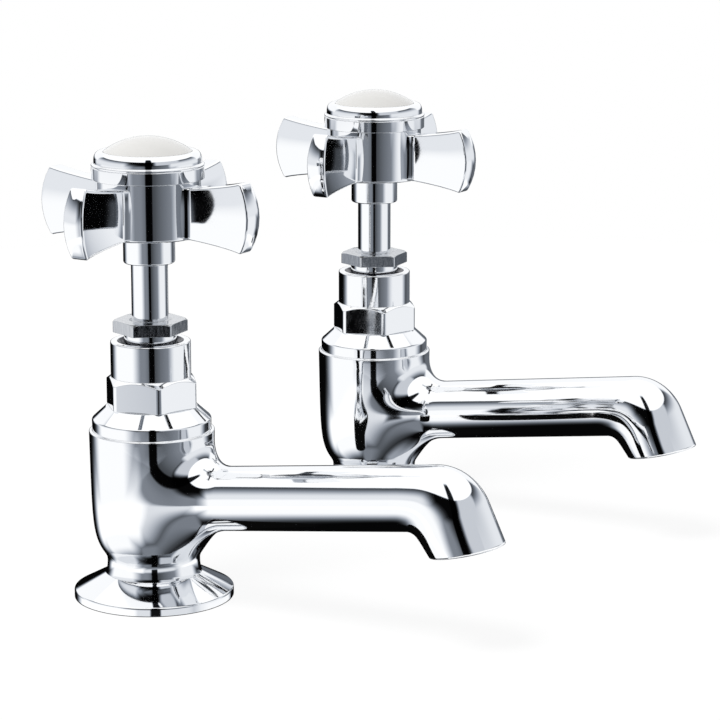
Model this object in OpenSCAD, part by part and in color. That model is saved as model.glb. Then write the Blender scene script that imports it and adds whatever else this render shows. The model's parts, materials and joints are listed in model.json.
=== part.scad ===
// A pair of pillar taps: two rising-spindle taps with cast bodies, long bent spouts
// and four-paddle crossheads. Millimetres, +Z up. The origin is on the left tap's
// centre line at deck level, +X is the way the spouts point and +Y runs from the
// left tap to the right one, as seen by a user who faces them.

/* [Pair] */
// Distance between the centre lines of the two taps
tap_spacing = 145; // [110:1:220]

/* [Deck fixing] */
// Thickness of the bath rim that each tap is clamped to
deck_t = 18; // [8:1:22]
// Outside diameter of the threaded tail, a three-quarter inch pipe thread
tail_d = 26.441; // [25:0.001:27.5]
// Length of the tail below the deck
tail_len = 52; // [48:1:70]
// Bore of the tail
inlet_d = 18.6; // [15:0.1:20]
// Thickness of the rubber gasket under the flange
gasket_t = 2; // [1:0.1:2.6]
// Thickness of the loose washer above the backnut
clamp_washer_t = 2; // [1:0.1:4]
// Outside diameter of the loose washer above the backnut
clamp_washer_d = 44; // [40:0.5:60]
// Width across flats of the backnut
backnut_af = 36; // [33:0.5:42]
// Height of the backnut
backnut_h = 8; // [5:0.5:11]

/* [Body casting] */
// Radius of the round flange that stands on the deck
flange_r = 26; // [24.5:0.1:32]
// Height of the flange's upright rim
flange_rim_h = 3.1; // [2.4:0.1:5]
// Height of the flange's cone
flange_cone_h = 5.1; // [3:0.1:8]
// Radius of the neck at its narrowest
neck_r = 14.5; // [13.5:0.1:16.5]
// Height of the neck, from the flange's cone to its narrowest point
neck_h = 4; // [3:0.1:8]
// Height of the belly, from the neck to where the barrel is full
belly_h = 29.6; // [28:0.1:38]
// Outside radius of the barrel
barrel_r = 20.1; // [19:0.1:23]
// Height of the barrel's upper, straight part
barrel_h = 13.9; // [12:0.1:20]
// Wall of the barrel
barrel_wall = 3.7; // [2.5:0.1:4.5]
// How far the shoulder steps in from the barrel's top edge
step_in = 0.9; // [0.5:0.1:1.6]
// Height of the upright band above the step
band_h = 3.5; // [2:0.1:6]
// Height of the cone that closes the shoulder
shoulder_h = 4.4; // [3.5:0.1:7]
// Radius of the body's mouth, on which the headwork seats
mouth_r = 14.7; // [14.2:0.1:16]
// Height of the valve seat above the neck
seat_rise = 11.8; // [9:0.1:15]
// Diameter of the hole through the valve seat
seat_d = 13; // [9:0.1:13.8]

/* [Spout] */
// Horizontal distance from the tap's centre line to the middle of the outlet
spout_reach = 115.5; // [95:0.5:160]
// Height of the spout's axis where it leaves the tap's centre line
spout_z = 32.3; // [31:0.1:36]
// Angle at which the spout rises
spout_rise = 7.6; // [4:0.1:10]
// Outside radius of the spout's straight part
spout_r = 10.4; // [9.6:0.1:12]
// Bore of the spout
waterway_d = 14.4; // [10:0.1:15]
// Radius of the fillet above the spout's root
root_fillet = 8.5; // [5:0.1:10]
// Radius of the fillet below the spout's root
root_under_fillet = 10; // [7:0.1:12]
// Radius of the fillets beside the spout's root
root_side_fillet = 30; // [16:0.5:36]
// Height of the middle of the outlet above the deck
outlet_z = 31.6; // [28:0.1:36]
// Outside radius of the outlet's rim
outlet_r = 12; // [11.4:0.1:13]
// Diameter of the recess in the outlet
outlet_d = 18.6; // [15:0.1:19]
// Depth of the recess in the outlet
outlet_depth = 8; // [5:0.1:8.5]
// Tilt of the outlet's rim, outer lip up
outlet_tilt = 13; // [5:0.5:18]
// Length of the elbow, measured back from the outlet along X
elbow_len = 22; // [21:0.1:26]
// Radius of the elbow's outer side
elbow_outer_r = 17; // [10:0.5:18]
// Radius of the elbow's inner side
elbow_inner_r = 5; // [3:0.5:6]
// Angle at which the elbow's outer side falls to the outlet
outer_fall = 65; // [58:0.5:70]
// Angle at which the elbow's inner side falls to the outlet
inner_fall = 47.5; // [42:0.5:54]

/* [Headwork] */
// Width across flats of the bonnet's hexagon
bonnet_af = 27; // [27:0.5:32]
// Height of the bonnet's hexagon
bonnet_hex_h = 9.9; // [7:0.1:14]
// Angle at which the tightened bonnet's hexagon stands
bonnet_angle = -50; // [-60:1:60]
// Radius of the bonnet's round collar
collar_r = 12.95; // [12:0.05:13.4]
// Height of the bonnet's round collar
collar_h = 11.5; // [10:0.1:16]
// Diameter of the bonnet's threaded shank
shank_d = 22; // [20.5:0.1:24]
// Length of the bonnet's threaded shank
shank_len = 13; // [11:0.1:14.4]
// Thickness of the seal washer between bonnet and body
seal_t = 1.6; // [1:0.1:2.2]
// Width across flats of the gland nut
gland_af = 21; // [20.2:0.1:24]
// Height of the gland nut's hexagon
gland_hex_h = 4; // [3:0.1:7]
// Angle at which the tightened gland nut's hexagon stands
gland_angle = 32.4; // [-60:0.1:60]
// Height of bare thread that shows between the collar and the gland nut
gland_gap = 2.8; // [0.5:0.1:5]
// Diameter of the gland nut's threaded shank
gland_d = 18.4; // [16.5:0.1:19.6]
// Length of the gland nut's shank inside the bonnet
gland_engage = 3.8; // [2:0.1:4.6]
// Thickness of the brass ring between gland nut and packing
follower_t = 1.2; // [0.8:0.1:1.6]

/* [Spindle and valve] */
// Radius of the spindle's smooth stem
stem_r = 5.9; // [5.2:0.05:6.4]
// Length of bright stem that shows between the gland nut and the handle
stem_show = 18.5; // [8:0.5:30]
// Diameter of the spindle's lifting thread
lift_thread_d = 16; // [14:0.1:17]
// How far the valve lifts from its seat
lift = 6; // [3:0.1:7]
// Width across flats of the square on top of the spindle
square_af = 7; // [6:0.1:7.2]
// Diameter of the jumper valve's stem
jumper_stem_d = 6; // [4:0.1:7]
// Length of the jumper valve's stem
jumper_stem_len = 12; // [8:0.5:16]
// Diameter of the jumper valve's plate
jumper_d = 20; // [18.5:0.1:22]
// Thickness of the jumper valve's plate
jumper_t = 3; // [2:0.1:4]
// Thickness of the rubber valve washer
valve_washer_t = 3; // [2:0.1:4]

/* [Crosshead] */
// Radius of the round neck under the handle's hub
handle_neck_r = 8.3; // [7.6:0.1:10]
// Height of the round neck under the handle's hub
handle_neck_h = 8.8; // [5:0.1:14]
// Radius of the hub
hub_r = 16.85; // [15.6:0.05:17.1]
// Height of the hub
hub_h = 18.3; // [17.4:0.1:24]
// Distance from the spindle's axis to the end of a paddle
paddle_reach = 40.7; // [34:0.1:50]
// Height of a paddle at its end
paddle_end_h = 22.2; // [18:0.1:26]
// Height of a paddle where it meets the hub
paddle_root_h = 16.4; // [12:0.1:16.8]
// Thickness of a paddle at its end
paddle_end_t = 7.3; // [6:0.1:9]
// Thickness of a paddle at its waist
paddle_waist_t = 5.6; // [4.5:0.1:5.9]
// How far the middle of a paddle's end stands out beyond its corners
paddle_bow = 3.2; // [1:0.1:4]
// How much a paddle's upper and lower sides dip between hub and end
paddle_hollow = 0.2; // [0.1:0.1:1]
// How much each face of a paddle falls back at its corners, because the faces are crowned
paddle_crown = 0.7; // [0.2:0.1:1.2]
// Height of a paddle's middle above the underside of the hub
paddle_mid_h = 8.6; // [8.4:0.1:9]
// Angle of the closed handle about the spindle, past the spout's direction
closed_angle = -1.3; // [-45:0.1:45]
// Diameter of the screw that holds the handle down
screw_d = 4.9; // [4:0.1:5]
// Diameter of that screw's head
screw_head_d = 9.6; // [9:0.1:11]
// Height of that screw's head
screw_head_h = 3.2; // [2:0.1:3.6]

/* [Cap and button] */
// Outside radius of the cap's lower band
cap_band_r = 18; // [17.5:0.1:20]
// Height of the cap's lower band
cap_band_h = 5; // [4:0.1:7]
// Height of the cap above its band
cap_top_h = 3.8; // [3:0.1:6]
// Outside radius of the cap above its band
cap_r = 17.2; // [16.4:0.1:17.3]
// Radius of the ceramic button
button_r = 14.1; // [12:0.1:14.6]
// Height of the button's dome
dome_h = 4.6; // [2:0.1:7]

/* [Hidden] */
// Faces round a full turn
$fn = 96;
// Gap between a piece and what it fits into, on the radius
fit_gap = 0.05;
// Gap round pieces that drop in loosely
loose_gap = 0.2;
// Small chamfer on turned edges
edge = 0.6;
// Fall of the cone that turns off a hexagon's corners, for each millimetre outwards
chamfer_slope = 0.6;
// Rings and sides of the spout's loft
ROOT_RINGS = 12;
ELBOW_RINGS = 16;
SPOUT_SIDES = 40;

// Heights of the body
neck_z = flange_rim_h + flange_cone_h + neck_h;
full_z = neck_z + belly_h;
barrel_top_z = full_z + barrel_h;
band_top_z = barrel_top_z + band_h;
body_top_z = band_top_z + shoulder_h;
seat_z = neck_z + seat_rise;
chamber_r = barrel_r - barrel_wall;
chamber_top_z = full_z + barrel_h / 2;
seat_ring_r = seat_d / 2 + 3;
seat_ring_h = 3.5;

// Radii and heights under the deck
tail_r = tail_d / 2;
inlet_r = inlet_d / 2;
clamp_z = -deck_t - clamp_washer_t;
backnut_z = clamp_z - backnut_h;
relief_w = 1.5;
relief_depth = 0.9;
relief_z = backnut_z - relief_w;
gasket_margin = 1.6;
throat_z = seat_z - 10;
throat_cone = 2.5;

// Heights of the headwork
shank_r = shank_d / 2;
mouth_rim = 1.4;
seal_r = mouth_r - mouth_rim;
shank_z = body_top_z - shank_len;
hex_top_z = body_top_z + bonnet_hex_h;
collar_top_z = hex_top_z + collar_h;
gland_hex_z = collar_top_z + gland_gap;
gland_top_z = gland_hex_z + gland_hex_h;
gland_r = gland_d / 2;
gland_z = collar_top_z - gland_engage;
follower_z = gland_z - follower_t;
stuffing_web = 3;
stuffing_floor_z = hex_top_z - 0.5;
stuffing_z = stuffing_floor_z + stuffing_web;

// Heights of the spindle and the valve
plate_z = seat_z + valve_washer_t;
spindle_z = plate_z + jumper_t;
lift_thread_r = lift_thread_d / 2;
thread_inset = 1.4;
lift_thread_z = shank_z + thread_inset;
lift_thread_top_z = stuffing_floor_z - stuffing_web - lift;
nut_af = 8;
nut_h = 3;
stud_d = 4;

// Heights of the handle
handle_z = gland_top_z + stem_show;
hub_z = handle_z + handle_neck_h;
hub_top_z = hub_z + hub_h;
stem_sink = 1.7;
stem_seat_z = handle_z + stem_sink;
square_drop = 10.7;
square_top_z = hub_top_z - square_drop;
screw_seat_z = square_top_z + 0.5;
cap_recess_z = screw_seat_z + screw_head_h + 0.8;
cap_recess_r = hub_r - 5.75;
bead_r = 0.5;
button_floor_h = 4;
button_z = hub_top_z + button_floor_h;
cap_top_z = hub_top_z + cap_band_h + cap_top_h;
screw_len = 13;

// Corners and directions of the spout, in its own upright plane
elbow_x = spout_reach - elbow_len;
root_end_x = barrel_r + root_fillet + 1;
belly_r = barrel_r - 1.8;
lip_r = outlet_r - edge / 2;
outlet_dir = [sin(outlet_tilt), -cos(outlet_tilt)];
spout_dir = [cos(spout_rise), sin(spout_rise)];
elbow_start = [elbow_x, axis_z(elbow_x)];
elbow_top = elbow_start + [-sin(spout_rise), cos(spout_rise)] * spout_r;
elbow_foot = elbow_start - [-sin(spout_rise), cos(spout_rise)] * spout_r;
outlet_mid = [spout_reach, outlet_z];
outer_lip = outlet_mid + [cos(outlet_tilt), sin(outlet_tilt)] * outlet_r;
inner_lip = outlet_mid - [cos(outlet_tilt), sin(outlet_tilt)] * outlet_r;
outer_corner = crossing(elbow_top, spout_dir, outer_lip, [cos(outer_fall), -sin(outer_fall)]);
inner_corner = crossing(elbow_foot, spout_dir, inner_lip, [cos(inner_fall), -sin(inner_fall)]);
bore_turn_x = spout_reach - 10.5;
bore_turn = [bore_turn_x, axis_z(bore_turn_x)];
recess_top = outlet_mid - outlet_dir * outlet_depth;

// Height of the spout's axis above the deck at a distance x from the tap's centre line
function axis_z(x) = spout_z + x * tan(spout_rise);

// Point at share t along a cubic curve from a to d that leaves towards b and arrives from c
function curve(a, b, c, d, t) =
    a * pow(1 - t, 3) + b * 3 * pow(1 - t, 2) * t + c * 3 * (1 - t) * t * t + d * t * t * t;

// The points of such a curve, in n steps, without its first point
function curve_points(a, b, c, d, n) = [for (i = [1:n]) curve(a, b, c, d, i / n)];

// Smooth step from 0 to 1
function ease(t) = t * t * (3 - 2 * t);

// Height of a round fillet of radius f at distance x past its foot
function fillet(x, f) = x >= f ? 0 : f - sqrt(f * f - pow(f - max(0, x), 2));

// A vector of length 1 along v
function unit(v) = v / norm(v);

// Where a line from p along u crosses a line from q along v
function crossing(p, u, q, v) =
    let (w = q - p)
    p + u * (w[0] * v[1] - w[1] * v[0]) / (u[0] * v[1] - u[1] * v[0]);

// Point at share s of the way from a to b round a corner c that is rounded to radius r
function round_corner(a, c, b, r, s) =
    let (
        u = unit(c - a),
        v = unit(b - c),
        turn = acos(u * v),
        cut = r * tan(turn / 2),
        run_in = norm(c - a) - cut,
        arc = r * turn * PI / 180,
        run_out = norm(b - c) - cut,
        d = s * (run_in + arc + run_out),
        phi = (d - run_in) / r * 180 / PI,
        inward = [u[1], -u[0]]
    )
    d < run_in ? a + u * d
    : d < run_in + arc ? a + u * run_in + inward * r * (1 - cos(phi)) + u * r * sin(phi)
    : b - v * (run_in + arc + run_out - d);

// Half width of the spout's root at distance x, with the fillets that join it to the barrel
function root_width(x) =
    let (
        f = root_side_fillet,
        run = sqrt(pow(barrel_r + f, 2) - pow(spout_r + f, 2)),
        foot = run * barrel_r / (barrel_r + f)
    )
    x < foot ? sqrt(pow(barrel_r, 2) - x * x) - 0.3 : spout_r + fillet(x - run + f, f);

// One ring of the spout with its middle at c, turned by angle a from upright: two half
// ellipses of half width w, one up to height h_up and one down to depth h_down
function ring(c, a, h_up, h_down, w) = [
    for (i = [0:SPOUT_SIDES - 1])
        let (s = 360 * i / SPOUT_SIDES, h = s < 180 ? h_up : h_down)
        [c[0] - sin(a) * h * sin(s), w * cos(s), c[1] + cos(a) * h * sin(s)]
];

// A ring at distance x along the straight part, with the fillets of the root
function root_ring(x) =
    let (
        plain = spout_r / cos(spout_rise),
        up = fillet(x - barrel_r, root_fillet),
        down = fillet(x - belly_r, root_under_fillet) - 1.3 * max(0, belly_r - x)
    )
    ring([x, axis_z(x)], 0, plain + up, plain + down, root_width(x));

// A ring at share t of the elbow, spanned between its outer and its inner side
function elbow_ring(t) =
    let (
        outer = round_corner(elbow_top, outer_corner, outer_lip, elbow_outer_r, t),
        inner = round_corner(elbow_foot, inner_corner, inner_lip, elbow_inner_r, t),
        half = (outer - inner) / 2
    )
    ring((outer + inner) / 2, -atan2(half[0], half[1]), norm(half), norm(half),
        spout_r + (outlet_r - spout_r) * ease(t));

// All the rings of the spout, from inside the barrel to the rounded rim of the outlet
function spout_rings() = concat(
    [root_ring(barrel_r * 0.4), root_ring(barrel_r * 0.6), root_ring(barrel_r * 0.78)],
    [for (i = [0:ROOT_RINGS]) root_ring(belly_r + (root_end_x - belly_r) * pow(i / ROOT_RINGS, 1.5))],
    [for (i = [0:ELBOW_RINGS]) elbow_ring(i / ELBOW_RINGS)],
    [ring(outlet_mid + outlet_dir * edge / 2, outlet_tilt - 90, lip_r, lip_r, lip_r)]
);

// A closed skin over a list of rings of equal length
module loft(rings) {
    n = len(rings[0]);
    m = len(rings);
    points = [for (r = rings) for (p = r) p];
    sides = [
        for (k = [0:m - 2]) for (i = [0:n - 1])
            let (j = (i + 1) % n)
            for (f = [[k * n + i, (k + 1) * n + j, k * n + j], [k * n + i, (k + 1) * n + i, (k + 1) * n + j]]) f
    ];
    first = [for (i = [1:n - 2]) [0, i, i + 1]];
    last = [for (i = [1:n - 2]) [(m - 1) * n, (m - 1) * n + i + 1, (m - 1) * n + i]];
    polyhedron(points = points, faces = concat(sides, first, last), convexity = 6);
}

// A round rod of radius r between two points of the spout's plane
module rod(a, b, r) {
    v = b - a;
    translate([a[0], 0, a[1]])
        rotate([0, 90 - atan2(v[1], v[0]), 0])
            cylinder(h = norm(v), r = r);
}

// A plain ring
module washer(z, h, r_in, r_out) {
    translate([0, 0, z])
        difference() {
            cylinder(h = h, r = r_out);
            translate([0, 0, -1]) cylinder(h = h + 2, r = r_in);
        }
}

// A hexagonal prism of width af across its flats, with the corners turned off at the top
module hexagon(z, h, af, chamfer) {
    corner_r = af / sqrt(3);
    brow_z = h - chamfer * chamfer_slope;
    translate([0, 0, z])
        intersection() {
            cylinder(h = h, r = corner_r, $fn = 6);
            rotate_extrude()
                polygon([
                    [0, 0], [corner_r + 1, 0], [corner_r + 1, brow_z],
                    [corner_r, brow_z], [corner_r - chamfer, h], [0, h]
                ]);
        }
}

// A square bar between two heights, turned with the closed handle
module square_bar(z, top_z, af) {
    rotate(closed_angle) translate([-af / 2, -af / 2, z]) cube([af, af, top_z - z]);
}

// Outline of the body's outer skin, from the tail's end up to the headwork's seat
function body_outline() = concat(
    [[0, -tail_len], [tail_r - edge, -tail_len], [tail_r, -tail_len + edge]],
    [[tail_r, relief_z - relief_w], [tail_r - relief_depth, relief_z - relief_w + 0.4]],
    [[tail_r - relief_depth, relief_z - 0.4], [tail_r, relief_z]],
    [[tail_r, 0], [flange_r - 0.2, 0], [flange_r, 0.3]],
    [[flange_r, flange_rim_h - 0.5], [flange_r - 0.7, flange_rim_h + 0.1]],
    [[neck_r + 1.3, flange_rim_h + flange_cone_h]],
    curve_points(
        [neck_r + 1.3, flange_rim_h + flange_cone_h],
        [neck_r + 0.3, neck_z - neck_h * 0.8],
        [neck_r, neck_z - neck_h * 0.5],
        [neck_r, neck_z], 5),
    curve_points(
        [neck_r, neck_z],
        [neck_r, neck_z + 1],
        [barrel_r, neck_z + belly_h * 0.08],
        [barrel_r, full_z], 16),
    [[barrel_r, barrel_top_z - 0.4], [barrel_r - 0.3, barrel_top_z]],
    [[barrel_r - step_in, barrel_top_z], [barrel_r - step_in + 0.2, band_top_z - 1]],
    [[barrel_r - step_in - 0.2, band_top_z - 0.2], [barrel_r - step_in - 0.9, band_top_z + 0.4]],
    [[mouth_r + 0.3, body_top_z - 0.3], [mouth_r, body_top_z], [0, body_top_z]]
);

// Everything inside the body that turns about its own axis: inlet, seat, chamber, headwork bore
module body_bores() {
    rotate_extrude()
        polygon([
            [0, -tail_len - 1], [inlet_r + edge + 1, -tail_len - 1], [inlet_r, -tail_len + edge],
            [inlet_r, throat_z], [seat_d / 2, throat_z + throat_cone], [seat_d / 2, seat_z],
            [seat_ring_r, seat_z], [seat_ring_r + 0.3, seat_z - seat_ring_h],
            [chamber_r - 3, seat_z - seat_ring_h], [chamber_r, seat_z + 0.5],
            [chamber_r, chamber_top_z], [shank_r + fit_gap, shank_z + 2],
            [shank_r + fit_gap, body_top_z - seal_t], [seal_r, body_top_z - seal_t],
            [seal_r, body_top_z + 1], [0, body_top_z + 1]
        ]);
}

// The way for the water from the chamber to the outlet
module waterway() {
    rod([0, axis_z(0)], bore_turn, waterway_d / 2);
    translate([bore_turn[0], 0, bore_turn[1]]) sphere(r = waterway_d / 2 + 0.1);
    rod(bore_turn, recess_top + unit(recess_top - bore_turn) * 2, waterway_d / 2 - 0.4);
    rod(recess_top, outlet_mid + outlet_dir * 5, outlet_d / 2);
}

module body() {
    color("gainsboro")
        difference() {
            union() {
                rotate_extrude() polygon(body_outline());
                loft(spout_rings());
            }
            body_bores();
            waterway();
            washer(-1, gasket_t + 1, tail_r, flange_r - gasket_margin);
        }
}

module base_gasket() {
    color("dimgray") washer(0, gasket_t, tail_r + fit_gap, flange_r - gasket_margin - fit_gap);
}

module clamp_washer() {
    color("whitesmoke") washer(clamp_z, clamp_washer_t, tail_r + loose_gap, clamp_washer_d / 2);
}

module backnut() {
    color("goldenrod")
        difference() {
            union() {
                hexagon(backnut_z, backnut_h, backnut_af, 0);
                translate([0, 0, clamp_z - 2]) cylinder(h = 2, r = backnut_af / sqrt(3));
            }
            translate([0, 0, backnut_z - 1]) cylinder(h = backnut_h + 2, r = tail_r + fit_gap);
            translate([0, 0, backnut_z - 0.01]) cylinder(h = 0.8, r1 = tail_r + 0.8, r2 = tail_r);
        }
}

module bonnet() {
    color("silver")
        difference() {
            union() {
                rotate(bonnet_angle) hexagon(body_top_z, bonnet_hex_h, bonnet_af, 1.8);
                rotate_extrude()
                    polygon([
                        [0, shank_z], [shank_r - 0.8, shank_z], [shank_r, shank_z + 0.8],
                        [shank_r, body_top_z + 0.5], [collar_r, body_top_z + 0.5],
                        [collar_r, collar_top_z - 0.7], [collar_r - 0.7, collar_top_z], [0, collar_top_z]
                    ]);
            }
            rotate_extrude()
                polygon([
                    [0, shank_z - 1], [lift_thread_r + 1.05, shank_z - 1],
                    [lift_thread_r + fit_gap, shank_z + 0.6],
                    [lift_thread_r + fit_gap, stuffing_floor_z - 1],
                    [stem_r + fit_gap, stuffing_floor_z], [stem_r + fit_gap, stuffing_z],
                    [gland_r + fit_gap, stuffing_z], [gland_r + fit_gap, collar_top_z - 1.4],
                    [gland_r + 1.4, collar_top_z], [gland_r + 1.4, collar_top_z + 1], [0, collar_top_z + 1]
                ]);
        }
}

module bonnet_seal() {
    color("firebrick") washer(body_top_z - seal_t, seal_t, shank_r + fit_gap, seal_r - fit_gap);
}

module packing() {
    color("black") washer(stuffing_z, follower_z - stuffing_z, stem_r + fit_gap, gland_r);
}

module gland_follower() {
    color("goldenrod") washer(follower_z, follower_t, stem_r + 0.1, gland_r);
}

module gland_nut() {
    color("silver")
        difference() {
            union() {
                rotate(gland_angle) hexagon(gland_hex_z, gland_hex_h, gland_af, 1.6);
                translate([0, 0, gland_z]) cylinder(h = gland_hex_z + 0.5 - gland_z, r = gland_r);
            }
            translate([0, 0, gland_z - 1]) cylinder(h = gland_top_z - gland_z + 2, r = stem_r + loose_gap);
            translate([0, 0, gland_top_z - 0.8])
                cylinder(h = 0.81, r1 = stem_r + loose_gap, r2 = stem_r + loose_gap + 0.8);
        }
}

module spindle() {
    color("silver")
        difference() {
            union() {
                rotate_extrude()
                    polygon([
                        [0, spindle_z], [stem_r + 0.1, spindle_z], [stem_r + 0.6, spindle_z + 0.5],
                        [stem_r + 0.6, lift_thread_z], [lift_thread_r - 1, lift_thread_z],
                        [lift_thread_r, lift_thread_z + 1], [lift_thread_r, lift_thread_top_z - 1],
                        [lift_thread_r - 1, lift_thread_top_z], [stem_r, lift_thread_top_z],
                        [stem_r, stem_seat_z - 0.3], [stem_r - 0.3, stem_seat_z], [0, stem_seat_z]
                    ]);
                square_bar(stem_seat_z - 1, square_top_z, square_af);
            }
            translate([0, 0, spindle_z - 1]) cylinder(h = jumper_stem_len + 2.5, r = jumper_stem_d / 2 + 0.1);
            translate([0, 0, screw_seat_z - screw_len - 1]) cylinder(h = screw_len + 2, r = screw_d / 2 + fit_gap);
        }
}

module jumper() {
    color("goldenrod") {
        difference() {
            translate([0, 0, plate_z]) cylinder(h = jumper_t, r = jumper_d / 2);
            translate([0, 0, plate_z - 1]) washer(0, 1.8, jumper_d / 2 - 1, jumper_d / 2 + 1);
        }
        translate([0, 0, spindle_z - 0.5]) cylinder(h = jumper_stem_len + 0.5, r = jumper_stem_d / 2);
        translate([0, 0, seat_z - nut_h - 1]) cylinder(h = plate_z - seat_z + nut_h + 1.5, r = stud_d / 2);
    }
}

module valve_washer() {
    color("black") washer(seat_z, valve_washer_t, stud_d / 2 + fit_gap, jumper_d / 2 - 1);
}

module washer_nut() {
    color("goldenrod")
        difference() {
            hexagon(seat_z - nut_h, nut_h, nut_af, 0);
            translate([0, 0, seat_z - nut_h - 1]) cylinder(h = nut_h + 2, r = stud_d / 2 + fit_gap);
        }
}

// What is cut from one face of a paddle: round in plan for the waist, and wider towards the
// paddle's upper and lower sides for the crown of the face
module cheek(waist_r, crown_r) {
    rotate_extrude($fn = 360)
        difference() {
            translate([0, -paddle_end_h]) square([waist_r + crown_r, 2 * paddle_end_h]);
            translate([waist_r + crown_r, 0]) circle(r = crown_r, $fn = 360);
        }
}

// One paddle: its flared side view, between the cheeks that shape its two faces
module paddle() {
    root_x = hub_r * 0.78;
    end_x = paddle_reach - paddle_bow;
    bow_r = (pow(paddle_end_h / 2, 2) + pow(paddle_bow, 2)) / (2 * paddle_bow);
    mid_x = (hub_r + end_x) / 2;
    half_run = (end_x - hub_r) / 2;
    waist_dip = (paddle_end_t - paddle_waist_t) / 2;
    waist_r = (pow(half_run, 2) + pow(waist_dip, 2)) / (2 * waist_dip);
    flare_len = norm([end_x - hub_r, (paddle_end_h - paddle_root_h) / 2]);
    flare_r = (pow(flare_len / 2, 2) + pow(paddle_hollow, 2)) / (2 * paddle_hollow);
    flare_a = atan2((paddle_end_h - paddle_root_h) / 2, end_x - hub_r);
    crown_r = (pow(paddle_end_h / 2, 2) + pow(paddle_crown, 2)) / (2 * paddle_crown);
    difference() {
        translate([0, paddle_end_t / 2, hub_z + paddle_mid_h])
            rotate([90, 0, 0])
                linear_extrude(height = paddle_end_t)
                    difference() {
                        union() {
                            polygon([
                                [root_x, -paddle_root_h / 2], [hub_r, -paddle_root_h / 2],
                                [end_x, -paddle_end_h / 2], [end_x, paddle_end_h / 2],
                                [hub_r, paddle_root_h / 2], [root_x, paddle_root_h / 2]
                            ]);
                            intersection() {
                                translate([paddle_reach - bow_r, 0]) circle(r = bow_r, $fn = 180);
                                translate([end_x - 0.01, -paddle_end_h / 2]) square([paddle_bow + 1, paddle_end_h]);
                            }
                        }
                        for (m = [0, 1])
                            mirror([0, m])
                                translate([
                                    mid_x - sin(flare_a) * (flare_r - paddle_hollow),
                                    (paddle_root_h + paddle_end_h) / 4 + cos(flare_a) * (flare_r - paddle_hollow)
                                ])
                                    circle(r = flare_r, $fn = 360);
                    }
        for (m = [0, 1])
            mirror([0, m, 0])
                translate([mid_x, paddle_waist_t / 2 + waist_r, hub_z + paddle_mid_h])
                    cheek(waist_r, crown_r);
    }
}

module crosshead() {
    color("gainsboro")
        difference() {
            union() {
                rotate_extrude()
                    polygon([
                        [0, handle_z], [handle_neck_r - 0.8, handle_z], [handle_neck_r, handle_z + 0.8],
                        [handle_neck_r, hub_z - 0.6], [handle_neck_r + 0.6, hub_z],
                        [hub_r - 0.8, hub_z], [hub_r, hub_z + 0.8], [hub_r, hub_top_z], [0, hub_top_z]
                    ]);
                for (k = [0:3]) rotate(closed_angle + 90 * k) paddle();
            }
            translate([0, 0, handle_z - 1]) cylinder(h = stem_seat_z - handle_z + 1, r = stem_r + 0.1);
            square_bar(stem_seat_z - 1, screw_seat_z + 1, square_af + 2 * fit_gap);
            translate([0, 0, screw_seat_z]) cylinder(h = hub_h, r = screw_head_d / 2 + 1);
            translate([0, 0, cap_recess_z]) cylinder(h = hub_h, r = cap_recess_r);
        }
}

module handle_screw() {
    color("silver")
        difference() {
            union() {
                translate([0, 0, screw_seat_z]) cylinder(h = screw_head_h, r = screw_head_d / 2);
                translate([0, 0, screw_seat_z - screw_len]) cylinder(h = screw_len + 0.5, r = screw_d / 2);
            }
            for (a = [0, 90])
                rotate(a)
                    translate([-screw_head_d / 4, -0.5, screw_seat_z + screw_head_h - 1.6])
                        cube([screw_head_d / 2, 1, 2]);
        }
}

module cap() {
    color("gainsboro")
        difference() {
            union() {
                rotate_extrude()
                    polygon(concat(
                        [[0, cap_recess_z + 0.5], [cap_recess_r - fit_gap, cap_recess_z + 0.5]],
                        [[cap_recess_r - fit_gap, hub_top_z], [cap_band_r - 0.4, hub_top_z]],
                        [[cap_band_r, hub_top_z + 0.4], [cap_band_r, hub_top_z + cap_band_h - 1]],
                        [[cap_r, hub_top_z + cap_band_h - 0.6]],
                        [[cap_r, hub_top_z + cap_band_h + 0.8]],
                        curve_points(
                            [cap_r, hub_top_z + cap_band_h + 0.8],
                            [cap_r, cap_top_z - 1],
                            [cap_r - 0.8, cap_top_z],
                            [button_r + 1, cap_top_z], 8),
                        [[0, cap_top_z]]
                    ));
                rotate_extrude()
                    translate([cap_band_r - 0.9 * bead_r, hub_top_z + cap_band_h - bead_r])
                        circle(r = bead_r, $fn = 24);
            }
            translate([0, 0, cap_recess_z]) cylinder(h = button_z - 2 - cap_recess_z, r = cap_recess_r - 2.6);
            translate([0, 0, button_z]) cylinder(h = cap_top_z, r = button_r + fit_gap);
        }
}

module button() {
    dome_r = (pow(button_r, 2) + pow(dome_h, 2)) / (2 * dome_h);
    color("white") {
        translate([0, 0, button_z]) cylinder(h = cap_top_z - button_z, r = button_r);
        intersection() {
            translate([0, 0, cap_top_z + dome_h - dome_r]) sphere(r = dome_r, $fn = 180);
            translate([0, 0, cap_top_z - 0.5]) cylinder(h = dome_h + 1, r = button_r);
        }
    }
}

// Places a piece of the right-hand tap
module right() {
    translate([0, tap_spacing, 0]) children();
}

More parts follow.
